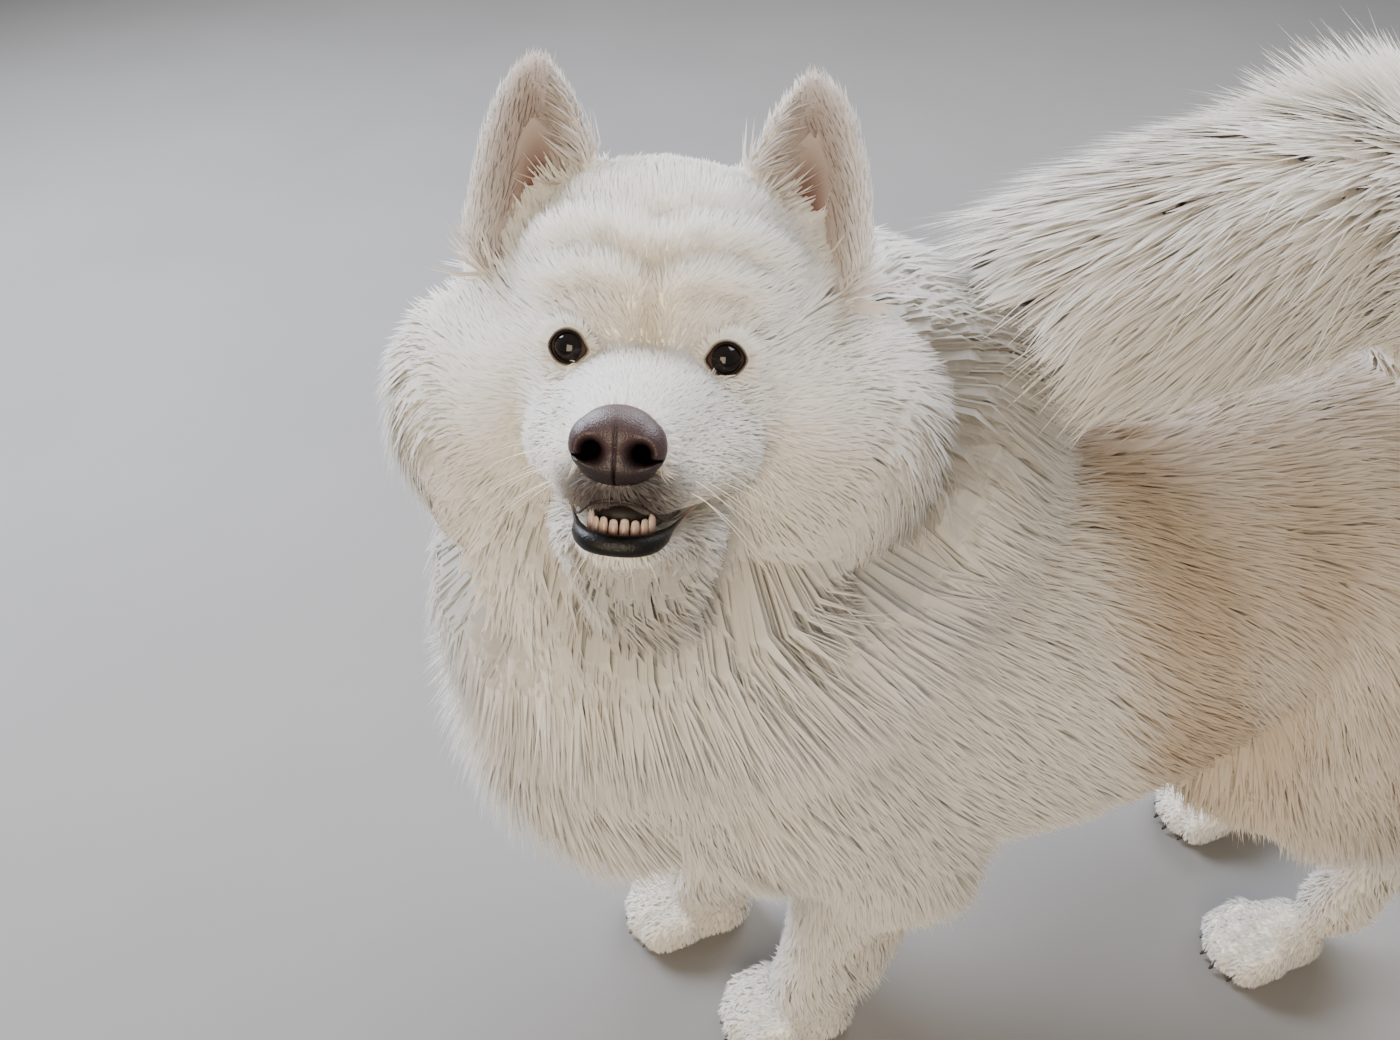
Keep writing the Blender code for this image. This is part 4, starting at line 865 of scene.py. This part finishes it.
def off_ears(local):
    """Below nought on the ears' own skin, in the head's frame: between two balls round the skull."""
    x, y, z = local.T
    skull = np.linalg.norm(local - SKULL, axis=1)
    return np.maximum.reduce([0.076 - skull, skull - 0.15, 0.030 - z, np.abs(y - 0.066) - 0.028,
                              0.020 - np.abs(x)])


def bare_at(local, normals):
    """Where no hair grows: inside the lids, under the nose leather or in the mouth, and in the ear.

    The last is a number: nought in the middle of the ear's cup, 1 at its edge, 9 off it.
    """
    x, y, z = local.T
    aside = np.abs(x)
    eye = ((aside - EYE_PLACE[0] - 0.0012) / 0.0092) ** 2 + ((z - EYE_PLACE[2]) / 0.0086) ** 2 < 1
    nose = (aside / 0.0165) ** 2 + ((z + 0.0335) / 0.0115) ** 2 < 1
    upper = np.interp(y, (-0.075, -0.057, -0.036, -0.012, 0.008),
                      (-0.0560, -0.0640, -0.0660, -0.0595, -0.0505))
    lower = np.interp(y, (-0.068, -0.0555, -0.039, -0.014, 0.0085),
                      (-0.0790, -0.0765, -0.0720, -0.0625, -0.0505))
    mouth = (z < upper + 0.0010) & (z > lower) & (y < -0.027) & (aside < 0.0250)
    cup = ((aside - 0.065) / 0.016) ** 2 + ((z - 0.068) / 0.040) ** 2
    cup = np.where((off_ears(local) < 0.002) & ((normals @ HEAD_AXES)[:, 1] < -0.1), cup, 9.0)
    return eye & (y < 0.030), (nose & (y < -0.066)) | mouth, cup


def grown(places, normals):
    """What the coat does at each place: its kind, reach, length, width, lie, curve and unwrap.

    Each axis of the body has its own values, and a place takes their mean, weighted by
    exp(-9 g) of its distance g to the axis in radii, so that the coat changes without a step.
    """
    found = [along_axis(places, AXES[kind]) for kind in KINDS]
    gap = np.stack([item[1] for item in found], 1)
    local = in_head(places)
    x, y, z = local.T
    left, back, height = places.T
    for k, kind in enumerate(KINDS):
        own = 1 if "left" in kind else -1
        if kind.startswith("ear"):
            gap[:, k] = np.where(off_ears(local) < 0, 0.2, 9.0)
            gap[:, k] += 5.0 * (np.sign(x) != own)
        if kind == "tail":
            gap[:, k] += 4.0 * ((back < 0.21) & (height < 0.60))
        if kind.startswith(("fore", "hind")):
            gap[:, k] += 4.0 * (own * left < 0)
    weight = np.exp(-9 * (gap - gap.min(1, keepdims=True)))
    weight /= weight.sum(1, keepdims=True)
    from_face = unit(places - on_head(0, 0.02, -0.02))
    from_nose = unit(local - (0, -0.085, -0.030))
    outward = unit(local * (1, 0, 1) + (0, 0, 0.01))
    neck_height = (places - (0.0, -0.250, 0.553)) @ unit(np.array((0.03, -0.32, 0.95)))
    reach, length, width, lie, bend = (np.zeros((len(places), n)) for n in (1, 1, 1, 3, 1))
    for k, (kind, (row, _, share, heading, turn)) in enumerate(zip(KINDS, found)):
        coat = row[:, 5]
        if kind in ("trunk", "neck", "mane"):
            neck = smooth_step(neck_height, -0.10, 0.02)
            breech = smooth_step(back, 0.15, 0.30) * smooth_step(0.50 - height, 0.0, 0.1)
            belly = smooth_step(-normals[:, 2], 0.5, 0.9)
            chest = smooth_step(-normals[:, 1], 0.2, 0.6) * (1 - neck)
            above = smooth_step(z, -0.005, 0.045) * smooth_step(height, 0.60, 0.70)
            near_head = 1 - smooth_step(np.linalg.norm(local - (0, 0.070, -0.030), axis=1), 0.115, 0.165)
            high = 0.45 * coat + 0.027 + 0.022 * neck + 0.008 * breech + 0.006 * belly + 0.014 * chest
            high = high * (1 - 0.42 * above) + 0.012 * neck * smooth_step(-z, 0.045, 0.080)
            high = high + 0.024 * near_head * (1 - above)
            long = 0.052 + 0.008 * neck + 0.020 * chest + 0.016 * breech
            wide = 0.0024 - 0.0003 * neck
            ruff = neck[:, None]
            way = (BACK - 0.75 * UP) * (1 - ruff) + (0.6 * from_face - 0.8 * UP + 0.8 * BACK) * ruff
        elif kind == "tail":
            grows = 0.35 + 0.65 * smooth_step(share, 0.0, 0.15)
            high, long, wide = (0.45 * coat + 0.045) * grows, 0.100 * grows, 0.0023 + 0 * coat
            way = heading - 0.55 * UP * smooth_step(0.22 - back, 0.0, 0.05)[:, None]
        elif kind == "head":
            ruffle = np.exp(-((np.abs(x) - 0.028) / 0.010) ** 2 - ((y + 0.016) / 0.020) ** 2
                            - ((z + 0.028) / 0.020) ** 2)
            chin = smooth_step(-z, 0.080, 0.095) * smooth_step(y, -0.062, -0.035)
            high = 0.0024 + 0.25 * coat * smooth_step(y, 0.01, 0.07) + 0.0035 * ruffle + 0.005 * chin
            long = 0.0090 + 0.020 * smooth_step(y, -0.01, 0.07) + 0.007 * ruffle + 0.034 * chin
            wide = 0.0010 + 0.0005 * smooth_step(y, 0.0, 0.08)
            lift = -1.2 * chin + 0.45 * smooth_step(y, 0.0, 0.05) * smooth_step(z, -0.02, 0.03)
            eye = np.column_stack([np.abs(x) - EYE_PLACE[0], y + 0.002, z])
            near = np.exp(-(np.maximum(np.linalg.norm(eye, axis=1) - 0.008, 0) / 0.009) ** 2)
            eye[:, 0] *= np.sign(x)
            way = from_nose * (1, 1, 0.8) + np.outer(lift, (0, 0, 1)) + 1.3 * near[:, None] * unit(eye)
            way = way @ HEAD_AXES.T
            high, long = high * (1 - 0.55 * near), long * (1 - 0.35 * near)
        elif kind.startswith("cheek"):
            behind = smooth_step(y, 0.035, 0.080)
            below = 1 - smooth_step(z, -0.015, 0.030)
            high = 0.0030 + (0.25 * coat + 0.016) * behind * (0.25 + 0.75 * below)
            long = 0.012 + (0.048 + 0.022 * smooth_step(-z, 0.040, 0.075)) * behind
            wide = 0.0011 + 0.0006 * behind
            down = 0.30 + 0.70 * smooth_step(-z, -0.01, 0.06)
            way = 0.35 * outward + np.column_stack([0 * down, 1.3 - 0.5 * down, -1.0 * down])
            way = (way * behind[:, None] + from_nose * (1 - behind[:, None])) @ HEAD_AXES.T
        elif kind.startswith("ear"):
            inside = ((normals @ HEAD_AXES)[:, 1] < -0.1) * smooth_step(0.066 - np.abs(x), 0.0, 0.012)
            high, long, wide = 0.0035 + 0 * coat, 0.013 + 0.008 * inside, 0.0011 + 0 * coat
            out = np.sign(x) * (0.9 * inside - 0.15 * (1 - inside))
            way = np.column_stack([out, 0 * coat, 1.0 - 0.4 * inside]) @ HEAD_AXES.T
        else:
            fore = kind.startswith("fore")
            feather = (smooth_step(normals[:, 1], 0.0, 0.5)
                       * smooth_step(height, *((0.04, 0.13) if fore else (0.16, 0.28))))
            feather = feather * (1 - 0.7 * smooth_step(height, 0.20, 0.28) * fore)
            foot = smooth_step(0.075 - height, 0.0, 0.03)
            under = smooth_step(-normals[:, 2], 0.05, 0.55)
            stifle = ((not fore) * smooth_step(-normals[:, 1], 0.0, 0.5)
                      * smooth_step(0.38 - height, 0.0, 0.08))
            high = coat * (1 - foot) * (1 - 0.35 * stifle) + 0.0052 * foot + 0.026 * feather
            long = 0.012 + 1.1 * coat * (1 - foot) + 0.030 * feather
            long, high = long * (1 - 0.60 * under) * (1 - 0.3 * stifle), high * (1 - 0.30 * under)
            wide = 0.0016 + 0.0006 * smooth_step(coat, 0.010, 0.04)
            way = (-UP + 0.35 * BACK * (1 - foot[:, None]) - 0.9 * BACK * foot[:, None]
                   * smooth_step(normals[:, 2], -0.2, 0.6)[:, None])
        part = weight[:, k:k + 1]
        around = 1 - ((unit(way) * heading).sum(1) ** 2)
        reach += part * high[:, None]
        length += part * long[:, None]
        width += part * wide[:, None]
        bend += part * (around / (0.5 * (row[:, 3] + row[:, 4]) + high))[:, None]
        lie += part * unit(way)
    kind = gap.argmin(1)
    unwrapped = np.stack([np.stack([0.5 + item[4] / (2 * np.pi), item[2]], 1) for item in found])
    unwrapped = unwrapped[kind, np.arange(len(places))]
    return kind, reach[:, 0], length[:, 0], width[:, 0], lie, bend[:, 0], unwrapped


def spacing_at(places, normals):
    """Room between roots: the hair is finest and closest on the face and feet, and close on the thin tail."""
    room = np.array([ROOM[name] for name in KINDS])[grown(places, normals)[0]]
    foot = smooth_step(0.10 - places[:, 2], 0.0, 0.05)
    lid, inside, cup = bare_at(in_head(places), normals)
    return room * (1 - 0.30 * foot) + NO_ROOT * ((places[:, 2] < 0.004) | lid | inside | (cup < 0.8))


# ---------------------------------------------------------------- tufts
# A tuft is a bundle of hairs: three-sided, ridged on its outer side, narrowing to a point.
# It leaves the skin steeply, bends over into the lie of the coat and leans to its neighbours.
TUFT_LEVELS = ((0.0, 0.70), (0.36, 1.0))    # share of the length, share of the width
RIDGE_SHARE = 0.20                  # how far a tuft's ridge stands off its sides, over half its width
COAT_PIECE = 19600                  # most tufts in one piece
GUARD_SHARE = 0.08                  # one hair in twelve is a guard hair: longer, thinner, freer
DEEPEST_ROOT = 0.003
BAKE_PATCH = 0.003                  # side of a tuft's patch on the unwrap


def uv_points(made, name, places):
    """Stores one UV place for each vertex, copied to every corner that uses it."""
    layer = made.data.uv_layers.new(name=name)
    layer.data.foreach_set("uv", places[corners_of(made)].astype(np.float32).ravel())


def clump_of(places, size, seed):
    """Number of the irregular cell that each root lies in: a grid of that size, bent by waves."""
    bent = places + 0.55 * size * waves(places, 3.1 * size, seed)
    return np.unique(cell_of(bent, size), return_inverse=True)[1].ravel()


def tuft_mesh(name, root, normal, lie, reach, length, width, bend, unwrapped, root_hue, tip_hue,
              clump, pull, seed, lifted):
    """Tufts as one mesh.  At a share t of its length the middle of a tuft that sinks s into the skin is at
    root + normal * ((reach + s) * (1 - (1 - t)^2.8) - s - bend * (length * t)^2 / 2) + lie * length * t,
    then drawn by pull * t^1.5 to the mean of its clump.

    Its outer faces are shaded as the evened skin is, lifted a little, and its underside as if lit from above.
    """
    rng = np.random.default_rng(seed)
    count = len(root)
    low = smooth_step(0.10 - root[:, 2:], 0.0, 0.05)
    lie = unit(lie + 0.22 * waves(root, 0.09, seed) + rng.normal(0, 1.0, (count, 3)) * (0.13 + 0.22 * low))
    lie = unit(lie - normal * (lie * normal).sum(1)[:, None])
    guard = rng.random(count) < GUARD_SHARE
    length = length * rng.uniform(0.78, 1.12, count) * np.where(guard, 1.15, 1.0)
    reach = reach * rng.uniform(0.97, 1.02, count) * np.where(guard, 1.06, 1.0)
    reach = reach * (1 + 0.04 * waves(root, 0.03, seed + 20)[:, 0])
    width = width * rng.uniform(0.55, 1.45, count) * np.where(guard, 0.40, 1.0)

    share = np.array([level for level, _ in TUFT_LEVELS] + [1.0])
    sink = np.minimum(DEEPEST_ROOT, 0.3 * reach)[:, None]
    height = -sink + (reach[:, None] + sink) * (1 - (1 - share[None]) ** 2.8)
    along = length[:, None] * share[None]
    height = height - 0.5 * bend[:, None] * along ** 2
    spine = root[:, None] + normal[:, None] * height[..., None] + lie[:, None] * along[..., None]
    group = clump_of(root, clump, seed)
    members = np.bincount(group)
    drawn = pull * share ** 1.5
    for level in range(1, len(share)):
        for axis in range(3):
            mean = np.bincount(group, spine[:, level, axis]) / members
            off = mean[group] - spine[:, level, axis]
            spine[:, level, axis] += np.where(guard, 0.3, 1.0) * drawn[level] * off
    spine[..., 2] = np.maximum(spine[..., 2], 0.0012)

    way = unit(np.diff(spine, axis=1, append=2 * spine[:, -1:] - spine[:, -2:-1]))
    roll = rng.normal(0, 0.09, (count, 1, 1))
    up = unit(normal[:, None] - way * (way * normal[:, None]).sum(2, keepdims=True))
    across = np.cross(way, up)
    across, up = across * np.cos(roll) + up * np.sin(roll), up * np.cos(roll) - across * np.sin(roll)
    wide = 0.5 * width[:, None, None] * np.array([size for _, size in TUFT_LEVELS])[None, :, None]
    rings = spine[:, :-1]
    side, ridge = across[:, :-1] * wide, up[:, :-1] * wide * RIDGE_SHARE
    points = np.stack([rings - side - 0.4 * ridge, rings + ridge, rings + side - 0.4 * ridge], 2)
    points = np.concatenate([points.reshape(count, -1, 3), spine[:, -1:]], 1)
    per = points.shape[1]
    rows = len(TUFT_LEVELS)
    ring = np.arange(3)
    beside = (ring + 1) % 3
    quads = np.concatenate([np.stack([ring, beside, beside + 3, ring + 3], 1) + 3 * k
                            for k in range(rows - 1)])
    tips = np.stack([ring + 3 * rows - 3, beside + 3 * rows - 3, np.full(3, per - 1)], 1)
    start = (np.arange(count) * per)[:, None, None]
    quads = (quads[None] + start).reshape(-1, 4)
    triangles = (np.concatenate([tips, [[2, 1, 0]]])[None] + start).reshape(-1, 3)
    made = mesh_object(name, points.reshape(-1, 3), [quads, triangles], hair_finish)

    t = np.concatenate([np.repeat(share[:-1], 3), [1.0]])
    aside = np.concatenate([np.tile((-1.0, 0.0, 1.0), rows), [0.0]])
    patch = unwrapped[:, None] * 0.992 + 0.002 + BAKE_PATCH * np.stack([0.5 + 0.5 * aside, t], 1)[None]
    uv_points(made, "OFBake", patch.reshape(-1, 2))
    strand = np.stack([rng.uniform(0, 50, (count, 1)) + 0.5 * width[:, None] * 1000 * aside,
                       rng.uniform(0, 50, (count, 1)) + length[:, None] * 1000 * t], 2)
    uv_points(made, "hairs", strand.reshape(-1, 2))
    made.data.uv_layers.active = made.data.uv_layers["OFBake"]
    # Each tuft runs from its root's colour to its tip's; the deeper root is partly painted shade deep in the
    # coat.
    hue = mixed(root_hue[:, None], tip_hue[:, None], (t ** 0.5)[None, :, None])
    colour_points(made, (hue * rng.uniform(0.97, 1.02, (count, 1, 1))).reshape(-1, 3))

    facing = unit(normal[:, None] + (0.12 + 0.7 * low[:, None]) * up + lifted * UP)
    facing = np.concatenate([np.repeat(facing[:, :-1], 3, 1), facing[:, -1:]], 1).reshape(-1, 3)
    under = unit(0.7 * UP - normal)[:, None, None]
    over_quads = facing[quads].reshape(count, -1, 4, 3)
    over_quads[:, 2::3] = under
    over_tips = facing[triangles].reshape(count, -1, 3, 3)
    over_tips[:, 2:] = under
    made.data.normals_split_custom_set(np.vstack([over_quads.reshape(-1, 3), over_tips.reshape(-1, 3)]))
    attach(made, "root")


def markings(places, normals):
    """The coat's colour at its roots and at its tips: white, warmer and deeper in the wool underneath, partly
    the wool's own cream and partly painted shade deep in the coat.
    """
    x, y, z = in_head(places).T
    white, cream, biscuit, tan_and_shade = linear("fdfcfa"), linear("fbf7ef"), linear("f2e7cf"), linear("d0b184")
    warm = np.clip(0.25 + 0.30 * waves(places, 0.25, 3)[:, 0], 0, 1)[:, None]
    tip, root = mixed(white, cream, 0.6 * warm), mixed(cream, biscuit, 0.5 * warm)
    # Tan over the flank, deepest just behind the mane: partly the coat's own biscuit, partly painted shade on
    # the flank behind the mane.
    behind = places[:, 1] + 0.3 * places[:, 2] - 0.13
    flank_tan_and_shade = smooth_step(behind, -0.015, 0.030) * smooth_step(places[:, 2], 0.24, 0.42)
    flank_tan_and_shade = flank_tan_and_shade * smooth_step(0.60 - places[:, 2], 0.0, 0.06) * smooth_step(0.32 - places[:, 1], 0.0, 0.10)
    flank_tan_and_shade = flank_tan_and_shade * np.clip(0.55 + 0.45 * np.exp(-((behind - 0.035) / 0.07) ** 2)
                            + 0.4 * waves(places, 0.10, 4)[:, 0], 0, 1)
    tip, root = mixed(tip, tan_and_shade, 0.55 * flank_tan_and_shade[:, None]), mixed(root, tan_and_shade, 0.75 * flank_tan_and_shade[:, None])
    # Biscuit in the furrow of the brow, partly the coat's own biscuit and partly painted shade in the crease;
    # and dark grey between the nose and the lip.
    furrow = np.exp(-(x / 0.010) ** 2 - ((y - 0.020) / 0.030) ** 2 - ((z - 0.012) / 0.022) ** 2)[:, None]
    tip, root = mixed(tip, biscuit, 0.8 * furrow), mixed(root, biscuit, furrow)
    lip = np.exp(-(x / 0.025) ** 4 - ((y + 0.074) / 0.022) ** 2 - ((z + 0.054) / 0.014) ** 4)[:, None]
    tip, root = mixed(tip, "42373a", lip), mixed(root, "42373a", lip)
    # A faint crease runs from the corner of the mouth up over the cheek.
    line = np.interp(y, (-0.057, -0.036, -0.012, 0.008), (-0.0655, -0.0662, -0.0588, -0.0500))
    crease = np.exp(-((z - line) / 0.0024) ** 2) * smooth_step(y, -0.060, -0.050)
    crease = crease * smooth_step(0.014 - y, 0, 0.012) * (np.abs(np.abs(x) - 0.034) < 0.018)
    crease = 0.55 * crease[:, None]
    tip, root = mixed(tip, "9a8272", crease), mixed(root, "9a8272", crease)
    # Black in the mouth and behind the nose; in the cup of the ear pink skin, painted a deep reddish brown as
    # shade in the hollow.
    _, inside, cup = bare_at(in_head(places), normals)
    root = np.where(inside[:, None], linear("1c1312"), root)
    cup_skin_and_shade = np.exp(-0.42 * cup)[:, None]
    return mixed(root, "4c2018", cup_skin_and_shade), mixed(tip, "a4705c", 0.8 * cup_skin_and_shade)


# Dog hair: a translucent keratin fibre, silky from its natural grease, scattering light all through
# the coat.  Hairs are 0.08 mm apart; the lines are drawn 0.4 mm apart across the tuft so that they show.
hair_finish, tree, shader = material("dog hair", Roughness=0.62, Sheen_Weight=0.25, Sheen_Roughness=0.5)
hue = add_node(tree, "ShaderNodeAttribute", attribute_name="hue")
strand = add_node(tree, "ShaderNodeUVMap", uv_map="hairs")
stretched = add_node(tree, "ShaderNodeMapping", [("Vector", strand, "UV")], in_Scale=(2.3, 0.07, 1.0))
lines = add_node(tree, "ShaderNodeTexNoise", [("Vector", stretched, "Vector")], in_Scale=1.0, in_Detail=2.0)
depth = add_node(tree, "ShaderNodeMapRange", [("Value", lines, "Fac")], in_From_Min=0.3, in_From_Max=0.7,
                 in_To_Min=0.87, in_To_Max=1.03)
shade = add_node(tree, "ShaderNodeVectorMath", [(0, hue, "Color"), (1, depth, "Result")],
                 operation="MULTIPLY")
tree.links.new(shade.outputs["Vector"], shader.inputs["Base Color"])
relief = add_node(tree, "ShaderNodeBump", [("Height", lines, "Fac")], in_Strength=0.25, in_Distance=0.0003)
tree.links.new(relief.outputs["Normal"], shader.inputs["Normal"])
through = add_node(tree, "ShaderNodeBsdfTranslucent", [("Color", shade, "Vector")])
both = add_node(tree, "ShaderNodeMixShader", [(1, shader, "BSDF"), (2, through, "BSDF")], in_Fac=0.48)
tree.links.new(both.outputs["Shader"], tree.nodes["Material Output"].inputs["Surface"])

# The coat evens out the body: it is longer over hollows, and stands up from the evened form.
skin_normals = point_normals(skin_places, skin_quads)
calm_places = calmed(skin, skin_places, 420)
local = in_head(skin_places)
even = smooth_step(skin_places[:, 2], 0.12, 0.24) * (1 - (off_ears(local) < 0.004))
even = even * np.maximum(smooth_step(local[:, 1], 0.02, 0.06),
                         smooth_step(np.linalg.norm(local, axis=1), 0.11, 0.14))
hollow = np.clip(((calm_places - skin_places) * skin_normals).sum(1), -0.006, 0.030) * even
even = even[:, None]
calm_normals = unit(skin_normals * (1 - even) + point_normals(calm_places, skin_quads) * even)
colour_points(skin, markings(skin_places, skin_normals)[0])
roots, corners, shares = scattered(skin_places, skin_quads, spacing_at(skin_places, skin_normals), 7)
root_normals = unit((calm_normals[corners] * shares).sum(1))
deeper = (hollow[corners] * shares[..., 0]).sum(1)

# The lids are haired right up to their black rims, with finer and shorter hair.
on_skin = len(roots)
for way, hand in HANDS:
    rows = lid_grid(way, 110)[4:8]
    lid_heading = 0.55 * unit(rows * (1, 0, 1)) - (0, 1.0, 0)
    lid_heading = from_frame(lid_heading.reshape(-1, 3), EYE_FRAMES[hand])
    lid_heading = unit(lid_heading - from_frame(np.zeros((1, 3)), EYE_FRAMES[hand]))
    roots = np.vstack([roots, from_frame(rows.reshape(-1, 3), EYE_FRAMES[hand])])
    root_normals = np.vstack([root_normals, lid_heading])
deeper = np.concatenate([deeper, np.zeros(len(roots) - on_skin)])
kind, reach, length, width, lie, bend, unwrapped = grown(roots, root_normals)
reach = np.maximum(reach + 0.9 * deeper, 0.3 * reach)
reach[on_skin:] *= 0.5
length[on_skin:] *= 0.7
root_hue, tip_hue = markings(roots, root_normals)

# The underwool lies beneath the long hair, nearly as deep: one broad soft lock to every four
# tufts, and to every two on the tail.
often = np.where(kind == KINDS.index("tail"), 0.50, 0.24)
wool = np.flatnonzero((np.random.default_rng(5).random(len(roots)) < often) & (reach > 0.012))
picked = np.concatenate([np.arange(len(roots)), wool])
underneath = np.arange(len(picked)) >= len(roots)
reach, length, width = (values[picked] * np.where(underneath, share, 1.0)
                        for values, share in ((reach, 0.90), (length, 0.8), (width, 4.2)))
kind, roots, root_normals, lie = (rows[picked] for rows in (kind, roots, root_normals, lie))
bend, unwrapped, root_hue, tip_hue = (rows[picked] for rows in (bend, unwrapped, root_hue, tip_hue))
coat = (roots, root_normals, lie, reach, length, width, bend, unwrapped, root_hue, tip_hue)
for k, name in enumerate(KINDS):
    chosen = np.flatnonzero(kind == k)
    pieces = max(1, -(-len(chosen) // COAT_PIECE))
    for n, rows in enumerate(np.array_split(chosen[np.argsort(roots[chosen, 1])], pieces)):
        tuft_mesh(f"coat_{name}" + (f"_{n + 1}" if pieces > 1 else ""), *(column[rows] for column in coat),
                  clump=0.005 if name.startswith(("head", "ear", "cheek")) else 0.012,
                  pull=0.26 if name == "tail" else 0.15, seed=k + 1,
                  lifted=1.1 if name.startswith("ear") else 0.45)

# The skin's even mesh served to set the hairs on; away from the face it needs far fewer triangles.
group = skin.vertex_groups.new(name="body")
group.add(np.flatnonzero(np.abs(in_head(skin_places)).max(1) > 0.13).tolist(), 1.0, "REPLACE")
fewer = skin.modifiers.new("fewer", "DECIMATE")
fewer.ratio = SKIN_SHARE
fewer.vertex_group = "body"
applied(skin)

low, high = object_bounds()
